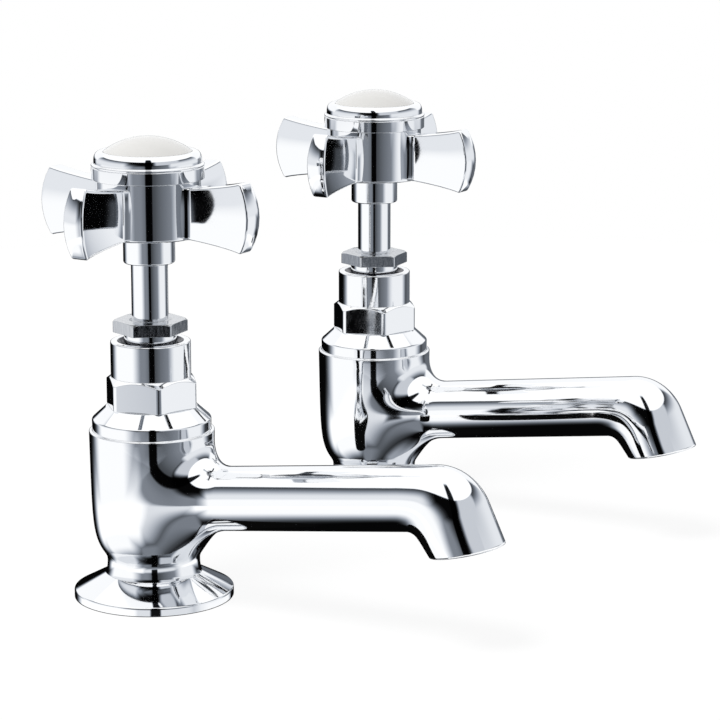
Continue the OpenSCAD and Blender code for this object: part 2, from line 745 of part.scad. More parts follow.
body();  // left_body
base_gasket();  // left_base_gasket
clamp_washer();  // left_clamp_washer
backnut();  // left_backnut
bonnet();  // left_bonnet
bonnet_seal();  // left_bonnet_seal
packing();  // left_packing
gland_follower();  // left_gland_follower
gland_nut();  // left_gland_nut
spindle();  // left_spindle
jumper();  // left_jumper
valve_washer();  // left_valve_washer
washer_nut();  // left_washer_nut
crosshead();  // left_crosshead
handle_screw();  // left_handle_screw
cap();  // left_cap
button();  // left_button
right() body();  // right_body
right() base_gasket();  // right_base_gasket
right() clamp_washer();  // right_clamp_washer
right() backnut();  // right_backnut
right() bonnet();  // right_bonnet
right() bonnet_seal();  // right_bonnet_seal
right() packing();  // right_packing
right() gland_follower();  // right_gland_follower
right() gland_nut();  // right_gland_nut
right() spindle();  // right_spindle
right() jumper();  // right_jumper
right() valve_washer();  // right_valve_washer
right() washer_nut();  // right_washer_nut
right() crosshead();  // right_crosshead
right() handle_screw();  // right_handle_screw
right() cap();  // right_cap
right() button();  // right_button
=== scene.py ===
"""Looks of a pair of bath pillar taps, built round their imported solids.

Every visible piece is a surface worked out as whole arrays, in millimetres in the row frame, and put
into a mesh in metres. Left and right pieces are the same shape, one tap spacing apart along Y.
"""
import json
import math

import bpy
import numpy as np
from bpy.props import FloatProperty, FloatVectorProperty, PointerProperty
from bpy.types import Operator, Panel, PropertyGroup
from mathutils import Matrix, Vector


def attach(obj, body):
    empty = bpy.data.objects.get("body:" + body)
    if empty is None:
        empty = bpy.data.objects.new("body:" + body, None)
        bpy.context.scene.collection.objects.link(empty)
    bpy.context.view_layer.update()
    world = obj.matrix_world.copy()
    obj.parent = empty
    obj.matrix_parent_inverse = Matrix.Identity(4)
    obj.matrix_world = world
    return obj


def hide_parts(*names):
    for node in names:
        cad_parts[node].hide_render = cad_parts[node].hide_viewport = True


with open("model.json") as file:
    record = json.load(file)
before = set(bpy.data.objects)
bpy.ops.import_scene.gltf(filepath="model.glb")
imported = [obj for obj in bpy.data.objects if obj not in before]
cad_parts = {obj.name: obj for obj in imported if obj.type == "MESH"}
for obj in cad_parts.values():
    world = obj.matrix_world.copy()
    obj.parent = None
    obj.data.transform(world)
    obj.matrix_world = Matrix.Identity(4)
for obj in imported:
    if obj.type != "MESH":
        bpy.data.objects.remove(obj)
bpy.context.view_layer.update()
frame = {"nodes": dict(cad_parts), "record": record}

bl_info = {
    "name": "Pillar tap pair",
    "version": (1, 0, 0),
    "blender": (4, 5, 0),
    "location": "View3D > Sidebar > Pillar taps",
    "description": "Builds the chrome, ceramic and brass of a pair of bath pillar taps",
    "category": "Object",
}

MOUNTS = {m["name"]: m for m in frame["record"]["mounts"]}
SPACING = 1000 * (MOUNTS["right_deck_fixing"]["pos_m"][1] - MOUNTS["left_deck_fixing"]["pos_m"][1])
SIDES = (("left", 0.0), ("right", SPACING))
# the bodies that new pieces ride on: the one that stands still, and each side's handle
FIXED, HANDLE = "fixed_taps", "{}_handle"


# ------------------------------------------------------------------ sizes and colours


def length(name, mm, description):
    """A size that a user would change, given here in millimetres."""
    return FloatProperty(
        name=name, description=description, default=mm / 1000, min=0.0, unit="LENGTH", precision=5)


def angle(name, degrees, description):
    return FloatProperty(
        name=name, description=description, default=math.radians(degrees), subtype="ANGLE")


def colour(name, rgb, description):
    return FloatVectorProperty(
        name=name, description=description, default=rgb, size=3, min=0.0, max=1.0, subtype="COLOR")


class CastingSizes(PropertyGroup):
    """Sizes of the cast body with its flange and spout."""
    flange_r: length("Flange radius", 26.0, "Radius of the round flange on the deck")
    flange_rim_h: length("Rim height", 2.83, "Height of the flange's upright rim")
    cone_rise: angle("Cone rise", 27.8, "Angle at which the flange's cone rises")
    neck_r: length("Neck radius", 15.0, "Radius of the neck at its narrowest")
    neck_z: length("Neck height", 12.6, "Height of the narrowest point above the deck")
    barrel_r: length("Barrel radius", 20.1, "Outside radius of the barrel")
    full_z: length("Gauge height", 43.0, "Height at which the barrel has its radius")
    swell: length("Swell", 4.6, "Height over which the belly swells out of the neck")
    taper: angle("Barrel taper", 1.0, "Angle at which the barrel widens upwards")
    barrel_top_z: length("Barrel top", 55.7, "Height of the barrel's top edge")
    band_top_z: length("Band top", 59.2, "Height of the edge above the stepped band")
    top_z: length("Mouth height", 63.6, "Height of the face on which the headwork seats")
    mouth_r: length("Mouth radius", 14.7, "Radius of the body's mouth")
    spout_z: length("Spout height", 32.3, "Height of the spout's axis at the tap's centre line")
    spout_rise: angle("Spout rise", 7.6, "Angle at which the spout rises")
    spout_r: length("Spout radius", 10.4, "Outside radius of the spout's straight part")
    spout_reach: length("Reach", 115.5, "Distance from the centre line to the middle of the outlet")
    outlet_z: length("Outlet height", 31.6, "Height of the middle of the outlet")
    outlet_r: length("Outlet radius", 12.0, "Outside radius of the outlet's rim")
    outlet_bore_r: length("Outlet recess", 9.3, "Radius of the recess in the outlet")
    outlet_tilt: angle("Outlet tilt", 13.0, "Tilt of the outlet's rim, outer lip up")
    elbow_len: length("Elbow length", 22.0, "Length of the elbow, back from the outlet")
    elbow_outer_r: length("Outer bend", 17.0, "Radius of the elbow's outer side")
    elbow_inner_r: length("Inner bend", 5.0, "Radius of the elbow's inner side")
    outer_fall: angle("Outer fall", 65.0, "Angle at which the elbow's outer side falls")
    inner_fall: angle("Inner fall", 47.5, "Angle at which the elbow's inner side falls")
    root_x: length("Root length", 29.6, "Distance from the centre line to the end of the root's fillet")
    root_side: length("Root width", 27.0, "Half width of the root on the barrel, along its surface")
    root_up: length("Root rise", 19.8, "Height of the root on the barrel, above its middle")
    root_down: length("Root drop", 21.0, "Depth of the root on the barrel, below its middle")


class HeadworkSizes(PropertyGroup):
    """Sizes of the bonnet, the gland nut and the spindle."""
    bonnet_af: length("Bonnet hexagon", 27.0, "Width across the flats of the bonnet")
    bonnet_top_z: length("Hexagon top", 73.5, "Height of the top of the bonnet's hexagon")
    bonnet_angle: angle("Bonnet turn", -46.5, "Angle at which a corner of the bonnet stands")
    collar_r: length("Collar radius", 12.95, "Radius of the bonnet's round collar")
    collar_top_z: length("Collar top", 85.0, "Height of the collar's top")
    gland_af: length("Gland hexagon", 21.0, "Width across the flats of the gland nut")
    gland_z: length("Gland nut height", 87.8, "Height of the gland nut's underside")
    gland_top_z: length("Gland nut top", 91.8, "Height of the gland nut's top")
    gland_angle: angle("Gland nut turn", 36.6, "Angle at which a corner of the gland nut stands")
    gland_r: length("Gland thread", 9.2, "Radius of the gland nut's threaded shank")
    stem_r: length("Stem radius", 5.9, "Radius of the spindle's bright stem")
    stem_top_z: length("Stem top", 112.0, "Height at which the handle seats on the spindle")


class HandleSizes(PropertyGroup):
    """Sizes of the crosshead, its cap and its button."""
    turn: angle("Turn", -1.3, "Angle of the closed handle, past the spout's direction")
    neck_r: length("Neck radius", 8.3, "Radius of the round neck under the hub")
    neck_z: length("Neck height", 110.3, "Height of the handle's lower end")
    hub_r: length("Hub radius", 16.85, "Radius of the hub")
    hub_z: length("Hub height", 119.1, "Height of the hub's underside")
    hub_top_z: length("Hub top", 137.4, "Height of the hub's top")
    reach: length("Paddle reach", 40.7, "Distance from the spindle's axis to a paddle's end")
    end_h: length("Paddle end", 22.2, "Height of a paddle at its end")
    root_h: length("Paddle root", 16.4, "Height of a paddle at the hub")
    end_t: length("Paddle thickness", 7.3, "Thickness of a paddle at its end")
    waist_t: length("Paddle waist", 6.7, "Thickness of a paddle at its waist")
    bow: length("Paddle bow", 3.2, "How far the middle of a paddle's end stands out")
    hollow: length("Paddle hollow", 0.2, "How much a paddle's upper and lower sides dip")
    crown: length("Paddle crown", 0.7, "How much a paddle's crowned faces fall back at its corners")
    edge_r: length("Paddle edge", 0.7, "Radius of a paddle's edges")
    cap_r: length("Cap radius", 17.2, "Radius of the cap above its band")
    cap_band_r: length("Cap band", 18.0, "Radius of the cap's lower band")
    cap_top_z: length("Cap top", 146.2, "Height of the cap's top")
    button_r: length("Button radius", 14.1, "Radius of the ceramic button")
    button_top_z: length("Button top", 150.8, "Height of the button's crown")


class TapColours(PropertyGroup):
    """Colours of the finishes."""
    chrome: colour("Chrome", (0.90, 0.91, 0.925), "Colour that polished chrome reflects")
    milled: colour("Milled flats", (0.58, 0.595, 0.62), "Colour of thin chrome over milled flats")
    # painted shade: this dark grey is partly unplated metal and partly the shade deep in the collar's mouth
    thread: colour("Raw thread", (0.16, 0.16, 0.17), "Gland nut's thread and the mouth round it")
    ceramic: colour("Ceramic", (0.77, 0.762, 0.738), "Glaze of the button")
    brass: colour("Brass", (0.75, 0.58, 0.30), "Bare machined brass")
    steel: colour("Steel", (0.60, 0.61, 0.63), "Stainless steel of the handle's screw")
    rubber: colour("Rubber", (0.035, 0.035, 0.037), "Black rubber")
    graphite: colour("Graphite", (0.06, 0.06, 0.065), "Packing round the stem")
    fibre: colour("Fibre", (0.42, 0.10, 0.06), "Red fibre washer")
    nylon: colour("Nylon", (0.80, 0.80, 0.76), "Loose washer under the deck")


class PillarTaps(PropertyGroup):
    """Everything that the operators below read."""
    casting: PointerProperty(type=CastingSizes)
    headwork: PointerProperty(type=HeadworkSizes)
    handle: PointerProperty(type=HandleSizes)
    colours: PointerProperty(type=TapColours)


class Millimetres:
    """The sizes of a group, lengths in millimetres and angles in radians, as plain attributes."""

    def __init__(self, group):
        for name, p in group.bl_rna.properties.items():
            if p.type == "FLOAT" and not p.is_array:
                value = getattr(group, name)
                setattr(self, name, value if p.unit == "ROTATION" else round(value * 1000, 4))


# ------------------------------------------------------------------ surfaces


def unit(v):
    """v scaled to length 1 along its last axis."""
    return v / np.linalg.norm(v, axis=-1, keepdims=True)


def ease(t):
    """Smooth step from 0 to 1."""
    return t * t * (3 - 2 * t)


def cubic(a, b, c, d, t):
    """Points a(1-t)^3 + 3b(1-t)^2 t + 3c(1-t)t^2 + dt^3 of the curve from a to d, for a column t."""
    return a * (1 - t) ** 3 + b * 3 * (1 - t) ** 2 * t + c * 3 * (1 - t) * t * t + d * t ** 3


def rounded(corners, steps=5, support=0.1):
    """A profile with rounded corners, from rows (radius from the axis, height, radius of the rounding).

    Each corner becomes an arc of `steps` steps, found by turning the direction from its centre to its
    start into the one to its end. A point a little before and after each arc keeps the straights flat.
    """
    c = np.array(corners, float)
    p, r = c[:, :2], c[1:-1, 2:]
    back, ahead = unit(p[:-2] - p[1:-1]), unit(p[2:] - p[1:-1])
    half = np.arccos(np.clip((back * ahead).sum(1, keepdims=True), -1, 1)) / 2
    centre = p[1:-1] + unit(back + ahead) * r / np.sin(half)
    start, end = p[1:-1] + back * r / np.tan(half), p[1:-1] + ahead * r / np.tan(half)
    t = np.linspace(0, 1, steps + 1)[None, :, None]
    sweep = (np.pi - 2 * half)[:, None]
    a, b = (start - centre)[:, None], (end - centre)[:, None]
    arc = centre[:, None] + (np.sin((1 - t) * sweep) * a + np.sin(t * sweep) * b) / np.sin(sweep)
    arc = np.concatenate([(start + back * support)[:, None], arc, (end + ahead * support)[:, None]], 1)
    return np.vstack([p[:1], arc.reshape(-1, 2), p[-1:]])


def polar(r, a, z):
    """Points at radius r, angle a and height z round the Z axis: x = r cos a, y = r sin a."""
    return np.stack(np.broadcast_arrays(r * np.cos(a), r * np.sin(a), z), -1)


def turned(profile, angles):
    """A profile of (radius, height) carried round the Z axis."""
    return polar(profile[:, :1], angles, profile[:, 1:])


def around(n):
    """n even angles of a full turn, from -180 degrees, so that the spout's side is in the middle."""
    return np.linspace(-np.pi, np.pi, n, endpoint=False)


def skin(grid, keep=None):
    """Points and quads of a grid whose rows are closed rings; keep drops the quads where it is false."""
    rows, cols = grid.shape[:2]
    here = np.arange(rows * cols).reshape(rows, cols)
    right = np.roll(here, -1, 1)
    quads = np.stack([here[:-1], right[:-1], right[1:], here[1:]], -1)
    return grid.reshape(-1, 3), quads.reshape(-1, 4) if keep is None else quads[keep]


def turn_about_z(points, a):
    """Points turned by angle a about the Z axis."""
    c, s = math.cos(a), math.sin(a)
    return points @ np.array([[c, s, 0], [-s, c, 0], [0, 0, 1]])


def weld(shells):
    """Points and faces of shells of (points, quads) in one.

    Points closer than a micrometre become one, so that grids that share a border join and a ring at a
    pole closes; a quad with two equal neighbouring corners becomes a triangle.
    """
    points = np.vstack([p for p, _ in shells])
    starts = np.cumsum([0] + [len(p) for p, _ in shells[:-1]])
    quads = np.vstack([q + s for (_, q), s in zip(shells, starts)])
    _, first, same = np.unique(np.round(points, 3), axis=0, return_index=True, return_inverse=True)
    points, quads = points[first], same.reshape(-1)[quads]
    doubled = quads == np.roll(quads, -1, 1)
    pinched = doubled.sum(1) == 1
    # start each pinched quad at the corner after its doubled one, and drop the double
    turn = (np.argmax(doubled[pinched], 1)[:, None] + np.arange(1, 4)) % 4
    triangles = np.take_along_axis(quads[pinched], turn, 1)
    return points, quads[~doubled.any(1)].tolist() + triangles.tolist()


def make_pieces(body, *rows):
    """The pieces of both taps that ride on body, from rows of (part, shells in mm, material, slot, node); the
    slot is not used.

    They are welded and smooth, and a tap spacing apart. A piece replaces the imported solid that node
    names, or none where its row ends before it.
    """
    welded = [weld(shells) for _, shells, *_ in rows]
    for side, y in SIDES:
        for (part, _, material, slot, *node), (points, faces) in zip(rows, welded):
            name = f"{side}_{part}"
            mesh = bpy.data.meshes.new(name)
            mesh.from_pydata(((points + [0.0, y, 0.0]) / 1000).tolist(), [], faces)
            mesh.validate()
            mesh.polygons.foreach_set("use_smooth", np.ones(len(mesh.polygons), bool))
            mesh.materials.append(material)
            mesh.update()
            piece = bpy.data.objects.new(name, mesh)
            bpy.context.scene.collection.objects.link(piece)
            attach(piece, body.format(side))
            if node:
                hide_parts(f"{side}_{node[0]}")


# ------------------------------------------------------------------ the casting


def crease(s):
    """Radius and height at which the flange's cone meets the neck's spread foot."""
    spread_r = 0.7
    r = s.neck_r + spread_r
    return np.array([r, s.flange_rim_h + math.tan(s.cone_rise) * (s.flange_r - r)])


def belly_radius(s, z):
    """Radius of the casting's outside at height z, from the flange's cone to the barrel's top.

    R(z) - (R(z) - neck) exp(-rise(z) / swell) + foot exp(-(z - crease) / fade), where R(z) is the
    slightly tapered barrel, rise(z) = w ln(1 + exp((z - start) / w)) is the height above the neck with
    a soft start, and the last term spreads the neck to the crease at the cone.
    """
    crease_r, crease_z = crease(s)
    soft, start, fade = 0.6, s.neck_z + 1.5, 1.4
    full = s.barrel_r + math.tan(s.taper) * (z - s.full_z)
    rise = soft * np.log1p(np.exp((z - start) / soft))
    foot = (crease_r - s.neck_r) * np.exp(-(z - crease_z) / fade)
    return full - (full - s.neck_r) * np.exp(-rise / s.swell) + foot


def axis_height(s, x):
    """Height of the spout's axis at distance x."""
    return s.spout_z + x * math.tan(s.spout_rise)


def crossing(p, u, q, v):
    """Where a line from p along u crosses a line from q along v, in a plane."""
    w = q - p
    return p + u * (w[0] * v[1] - w[1] * v[0]) / (u[0] * v[1] - u[1] * v[0])


def round_corner(a, c, b, r, share):
    """Points at shares of the way from a to b round a corner c that is rounded to radius r."""
    u, v = unit(c - a), unit(b - c)
    turn = math.acos(u @ v)
    cut = r * math.tan(turn / 2)
    run_in, run_out, arc = np.linalg.norm(c - a) - cut, np.linalg.norm(b - c) - cut, r * turn
    d = share[:, None] * (run_in + arc + run_out)
    phi = (d - run_in) / r
    inward = np.array([u[1], -u[0]])
    first = a + u * d
    bend = a + u * run_in + inward * r * (1 - np.cos(phi)) + u * r * np.sin(phi)
    last = b - v * (run_in + arc + run_out - d)
    return np.where(d < run_in, first, np.where(d < run_in + arc, bend, last))


def rings(middle, up, width, phi):
    """Elliptic rings: middle + up sin(phi) in the spout's plane, and width cos(phi) across it."""
    x = middle[:, :1] + up[:, :1] * np.sin(phi)
    z = middle[:, 1:] + up[:, 1:] * np.sin(phi)
    return np.stack([x, width * np.cos(phi) + 0 * x, z], -1)


def spout_grid(s, phi):
    """The spout from the end of its root to the blind end of its waterway, as rings at angles phi.

    The straight part is a ruled cylinder. Each ring of the elbow spans from its outer to its inner
    side, two lines with rounded corners, and widens to the outlet. Then come the rounded lip, the
    recess and the waterway, as rings of falling radius at steps along the outlet's axis.
    """
    rise = s.spout_rise
    along, up = np.array([math.cos(rise), math.sin(rise)]), np.array([-math.sin(rise), math.cos(rise)])
    start = np.array([s.spout_reach - s.elbow_len, axis_height(s, s.spout_reach - s.elbow_len)])
    root = np.array([s.root_x, axis_height(s, s.root_x)])
    first = rings(root[None], np.array([[0, s.spout_r / math.cos(rise)]]), s.spout_r, phi)
    last = rings(start[None], up[None] * s.spout_r, s.spout_r, phi)
    straight = first + (last - first) * np.linspace(0, 1, 24)[:, None, None]
    out = np.array([math.sin(s.outlet_tilt), -math.cos(s.outlet_tilt)])
    across = np.array([math.cos(s.outlet_tilt), math.sin(s.outlet_tilt)])
    mid = np.array([s.spout_reach, s.outlet_z])
    share = np.linspace(0, 1, 80)
    sides = []
    for way, fall, bend_r in ((1, s.outer_fall, s.elbow_outer_r), (-1, s.inner_fall, s.elbow_inner_r)):
        begin, lip = start + way * up * s.spout_r, mid + way * across * s.outlet_r
        corner = crossing(begin, along, lip, np.array([math.cos(fall), -math.sin(fall)]))
        sides.append(round_corner(begin, corner, lip, bend_r, share))
    outer, inner = sides
    width = s.spout_r + (s.outlet_r - s.spout_r) * ease(share)
    elbow = rings((outer + inner) / 2, (outer - inner) / 2, width[:, None], phi)
    lip_h, recess_h, waterway_r, blind_h = 0.3, -8, 6.8, -20
    mouth = rounded([
        (s.outlet_r, 0, 0), (s.outlet_r, lip_h, 0.28), (s.outlet_bore_r, lip_h, 0.35),
        (s.outlet_bore_r, recess_h, 0.3), (waterway_r, recess_h, 0.3), (waterway_r, blind_h, 1.0),
        (0, blind_h, 0)], support=0.05)[1:]
    mouth = rings(mid + out * mouth[:, 1:], across * mouth[:, :1], mouth[:, :1], phi)
    return np.concatenate([straight[:-1], elbow, mouth])


def root_grid(s, border, phi, end):
    """The root of the spout: from its border on the barrel, over the fillet, to the spout's first ring.

    Border holds (angle about the barrel, height) of the rim of a gap in the barrel's grid. Its first
    rows run on the barrel's own surface to a rounded diamond, at |cos|^p/side + |sin|^p/up = 1 round
    the spout. The fillet is a cubic curve for each angle phi, which leaves the barrel along its
    surface and meets the spout along its axis; its handles point at the sharp corner between the two.
    """
    power, grip, step = 1.8, 0.62, 0.02
    middle = axis_height(s, s.barrel_r)
    tall = np.where(np.sin(phi) > 0, s.root_up, s.root_down)
    reach = (np.abs(np.cos(phi) / s.root_side) ** power + np.abs(np.sin(phi) / tall) ** power) ** (-1 / power)
    foot = np.stack([reach * np.cos(phi) / s.barrel_r, middle + reach * np.sin(phi)], -1)
    flat = border + (foot - border) * np.linspace(0, 1, 9)[:, None, None]

    def on_barrel(at):
        """Points of the barrel at (angle, height)."""
        return polar(belly_radius(s, at[..., 1]), at[..., 0], at[..., 1])

    # the sharp corner between barrel and spout, by a few steps of substitution
    y, dz = s.spout_r * np.cos(phi), s.spout_r / math.cos(s.spout_rise) * np.sin(phi)
    x = np.full_like(phi, s.barrel_r)
    for _ in range(6):
        x = np.sqrt(belly_radius(s, axis_height(s, x) + dz) ** 2 - y ** 2)
    corner = np.stack([np.arctan2(y, x), axis_height(s, x) + dz], -1)
    near = np.linalg.norm((corner - foot) * [s.barrel_r, 1], axis=-1, keepdims=True)
    far = (s.root_x - x)[:, None] / math.cos(s.spout_rise)
    start = on_barrel(foot)
    leave = unit(on_barrel(foot + (corner - foot) * step) - start)
    arrive = np.array([math.cos(s.spout_rise), 0, math.sin(s.spout_rise)])
    t = np.linspace(0, 1, 30)[1:, None, None]
    fillet = cubic(start, start + leave * near * grip, end - arrive * far * grip, end, t)
    return np.concatenate([on_barrel(flat), fillet])


def casting_shells(s):
    """The whole cast body: turned from flange to mouth, with a gap where the spout's root joins it.

    The gap takes the half of the columns on the spout's side, from height low_z to high_z.
    """
    low_z, high_z, columns = 11.0, 54.9, 192
    gasket_r, gasket_t, bore_r, bore_z = s.flange_r - 1.6, 2.0, 11.2, 52.0
    cone_r, cone_z = crease(s)
    foot_z = cone_z + 0.6
    lower = rounded([
        (0, gasket_t, 0), (gasket_r, gasket_t, 0.1), (gasket_r, 0, 0.1), (s.flange_r, 0, 0.3),
        (s.flange_r, s.flange_rim_h, 0.7), (cone_r, cone_z, 0.25), (belly_radius(s, foot_z), foot_z, 0)])
    neck_z = np.linspace(foot_z, low_z, 8)[1:-1]
    neck = np.stack([belly_radius(s, neck_z), neck_z], -1)
    belly_z = low_z + (high_z - low_z) * np.linspace(0, 1, 71) ** 1.4
    belly = np.stack([belly_radius(s, belly_z), belly_z], -1)
    step_r = s.barrel_r - 0.9
    upper = rounded([
        (belly[-1, 0], high_z, 0), (belly[-1, 0], s.barrel_top_z, 0.35), (step_r, s.barrel_top_z, 0.25),
        (step_r + 0.1, s.band_top_z + 0.2, 0.9), (s.mouth_r, s.top_z, 0.25), (bore_r, s.top_z, 0.2),
        (bore_r, bore_z, 0.4), (0, bore_z, 0)])[1:]
    profile = np.vstack([lower, neck, belly, upper])
    angles = around(columns)
    row, col = len(lower) + len(neck), columns // 4
    last_row, last_col = row + len(belly) - 1, columns - col
    keep = np.ones((len(profile) - 1, columns), bool)
    keep[row:last_row, col:last_col] = False
    # the gap's rim, anticlockwise as seen from the spout
    up, over = np.arange(row, last_row), np.arange(col, last_col)
    rows = np.concatenate([np.full_like(over, row), up, np.full_like(over, last_row), up[::-1] + 1])
    cols = np.concatenate([over, np.full_like(up, last_col), over[::-1] + 1, np.full_like(up, col)])
    border = np.stack([angles[cols], profile[rows, 1]], -1)
    phi = np.arctan2(border[:, 1] - axis_height(s, s.barrel_r), border[:, 0] * s.barrel_r)
    spout = spout_grid(s, phi)
    return [skin(turned(profile, angles), keep), skin(root_grid(s, border, phi, spout[0])), skin(spout)]


def threaded(below, r, depth, pitch, low, high, above, columns):
    """A turned shell whose wall of radius r has a right-hand thread from height low to height high.

    The radius falls from r by depth and back once a pitch, as a cosine of z / pitch - angle / 2 pi that
    is steepened and cut off to flat crests and roots, and the thread dies out over a pitch at its ends.
    """
    rows_per_turn, steep = 12, 1.5
    angles = around(columns)
    z = np.linspace(low, high, int((high - low) / pitch * rows_per_turn))[:, None]
    phase = (z / pitch - angles / (2 * np.pi)) % 1
    groove = np.clip(steep * np.cos(2 * np.pi * phase) + 0.5, -0.5, 1.5) / 2 + 0.25
    fade = np.clip((z - low) / pitch, 0, 1) * np.clip((high - z) / pitch, 0, 1)
    wall = polar(r - depth * groove * fade, angles, z)
    return skin(np.concatenate([turned(below, angles), wall, turned(above, angles)]))


def tail_shell():
    """The threaded tail under the deck, with its bore: three-quarter inch pipe thread."""
    r, bore, bore_z, end, buried, depth, pitch = 13.22, 9.3, 14.0, -52.0, 16.0, 1.0, 1.814
    below = rounded([
        (0, bore_z, 0), (bore, bore_z, 0.3), (bore, end, 0.5), (r - 0.6, end, 0.3), (r, end + 0.6, 0)])
    above = rounded([(r, -0.3, 0), (r, buried, 0.3), (0, buried, 0)])
    return threaded(below, r, depth, pitch, end + 0.7, -1.0, above, 96)


# ------------------------------------------------------------------ headwork


def flat_end(af, edge_r):
    """Angle from a flat's middle to where its rounded corner starts."""
    return math.atan((af / 2 - edge_r) * math.tan(math.pi / 6) / (af / 2))


def hexagon_angles(af, edge_r):
    """Angles of the columns of a hexagon: a few over each flat and a close row over each rounded corner."""
    end, hem = flat_end(af, edge_r), 0.006
    flat = np.concatenate([[-end, -end + hem], np.linspace(-0.8, 0.8, 7) * end, [end - hem]])
    corner = np.linspace(end, math.pi / 3 - end, 9)[:-1]
    sector = np.concatenate([flat, corner])
    return (sector + np.arange(6)[:, None] * math.pi / 3).reshape(-1)


def hexagon_radius(angles, af, edge_r):
    """Distance from the middle to the outline of a hexagon with corners rounded to edge_r.

    On a flat it is (af/2)/cos d, with d the angle from the flat's middle; on a corner's arc it is
    c cos g + sqrt(edge_r^2 - c^2 sin^2 g), with c the distance of the arc's centre and g the angle from it.
    """
    d = np.abs((angles + math.pi / 6) % (math.pi / 3) - math.pi / 6)
    c = (af / 2 - edge_r) / math.cos(math.pi / 6)
    g = math.pi / 6 - d
    on_arc = c * np.cos(g) + np.sqrt(np.maximum(edge_r ** 2 - (c * np.sin(g)) ** 2, 0))
    return np.where(d < flat_end(af, edge_r), af / 2 / np.cos(d), on_arc)


def hexagon_nut(af, z, top_z, chamfer_r, bevel, below, above, turn, edge_r):
    """A hexagon whose corners are turned off by a cone outside chamfer_r, falling at slope bevel.

    Rows go from the profile below up the side, round a small brow, in along the cone and over the flat
    top to the profile above.
    """
    angles = hexagon_angles(af, edge_r)
    side = hexagon_radius(angles, af, edge_r)

    def cone(r):
        """How far the cone has fallen at radius r."""
        return bevel * np.maximum(r - chamfer_r, 0)

    brow, brow_h = 0.14, 0.3
    inset = np.array([0, 0, 0.04, 0.5, 1]) * brow
    drop = np.array([brow_h / brow, 1, 0.5, 0.04, 0]) * brow
    r_up = side - inset[:, None]
    z_up = top_z - cone(r_up) - drop[:, None]
    ring_r = np.minimum(side - brow - 0.05, chamfer_r)
    r_top = np.stack([(side - brow + ring_r) / 2, ring_r + 0.02, ring_r - 0.02])
    r_low = r_up[::-1]
    r = np.vstack([side - brow_h, r_low, r_up, r_top])
    heights = np.vstack([z + 0 * side, z + 0 * r_low + drop[::-1, None], z_up, top_z - cone(r_top)])
    grid = np.concatenate([turned(below, angles), polar(r, angles, heights), turned(above, angles)])
    points, quads = skin(grid)
    return turn_about_z(points, turn - math.pi / 6), quads


def bonnet_shell(h, mouth_z):
    """The bonnet: shank in the body, hexagon with turned corners, round collar and its dished mouth."""
    shank_r, shank_z, bore, bevel, corner_r = 10.95, mouth_z - 11, h.gland_r + 0.1, 0.75, 1.8
    dish_r, dish_z, floor_z = bore + 1.4, h.collar_top_z - 4.2, h.collar_top_z - 5
    below = rounded([(0, shank_z, 0), (shank_r, shank_z, 0.5), (shank_r, mouth_z, 0)])
    above = rounded([
        (h.collar_r + 0.02, h.bonnet_top_z, 0), (h.collar_r, h.bonnet_top_z + 0.02, 0.01),
        (h.collar_r, h.collar_top_z, 0.5), (dish_r, h.collar_top_z, 0.15), (dish_r, dish_z, 0.2),
        (bore, dish_z, 0.1), (bore, floor_z, 0.3), (0, floor_z, 0)])
    return hexagon_nut(
        h.bonnet_af, mouth_z, h.bonnet_top_z, h.collar_r, bevel, below, above, h.bonnet_angle, corner_r)


def gland_shells(h):
    """The gland nut: hexagon with turned corners and a stem hole, its relief and its threaded shank."""
    top, z, chamfer_r, bevel, corner_r = h.gland_top_z, h.gland_z, 11.2, 0.6, 0.7
    hole, under_r, relief_r, inner_z = h.stem_r + 0.2, h.gland_r - 0.8, h.gland_r - 0.7, z + 0.5
    above = rounded([
        (h.gland_r, top, 0), (hole + 0.7, top, 0.1), (hole, top - 0.8, 0.2), (hole, z, 0.3), (0, z, 0)])
    below = rounded([(0, inner_z, 0), (under_r, inner_z, 0.1), (under_r, z, 0)])
    nut = hexagon_nut(h.gland_af, z, top, chamfer_r, bevel, below, above, h.gland_angle, corner_r)
    relief_z, out_r = h.collar_top_z - 1.2, h.gland_r + 0.1
    relief = rounded([
        (0, relief_z, 0), (relief_r, relief_z, 0.1), (relief_r, z - 0.3, 0.1), (out_r, z + 0.1, 0.1),
        (out_r, inner_z, 0.1), (0, inner_z, 0)])
    foot, end, depth, pitch = h.collar_top_z - 3.7, h.collar_top_z - 1.0, 0.55, 1.0
    low = rounded([(0, foot, 0), (relief_r, foot, 0.2), (h.gland_r, foot + 0.7, 0)])
    high = rounded([(h.gland_r - 0.5, end - 0.3, 0), (h.gland_r - 0.9, end, 0.1), (0, end, 0)])
    shank = threaded(low, h.gland_r, depth, pitch, foot + 0.7, end - 0.3, high, 96)
    return nut, skin(turned(relief, around(96))), shank


def mouth_shell(h):
    """The unplated bevel and thread in the bonnet's mouth, as a ring let into the chromed collar, which
    carries the painted shade of the mouth.
    """
    bore, outer, top = h.gland_r + 0.1, h.gland_r + 0.1 + 1.45, h.collar_top_z
    foot, rim = top - 4, top - 0.25
    loop = rounded([
        (bore, foot, 0), (bore, top - 2.2, 0.1), (outer - 0.1, rim, 0.1), (outer, rim, 0.02),
        (outer, foot, 0.05), (bore, foot, 0)], support=0.01)[::-1]
    return skin(turned(loop, around(96)))


def square_bar(width, z, top_z, turn):
    """A square bar with rounded edges and a chamfered top, round a superellipse |x|^n + |y|^n = 1."""
    a, power, chamfer = around(64), 12, 0.4
    r = width / 2 * (np.abs(np.cos(a)) ** power + np.abs(np.sin(a)) ** power) ** (-1 / power)
    rows = np.array([[0, z], [1, z], [1, top_z - chamfer], [1 - 2 * chamfer / width, top_z], [0, top_z]])
    points, quads = skin(polar(rows[:, :1] * r, a, rows[:, 1:]))
    return turn_about_z(points, turn), quads


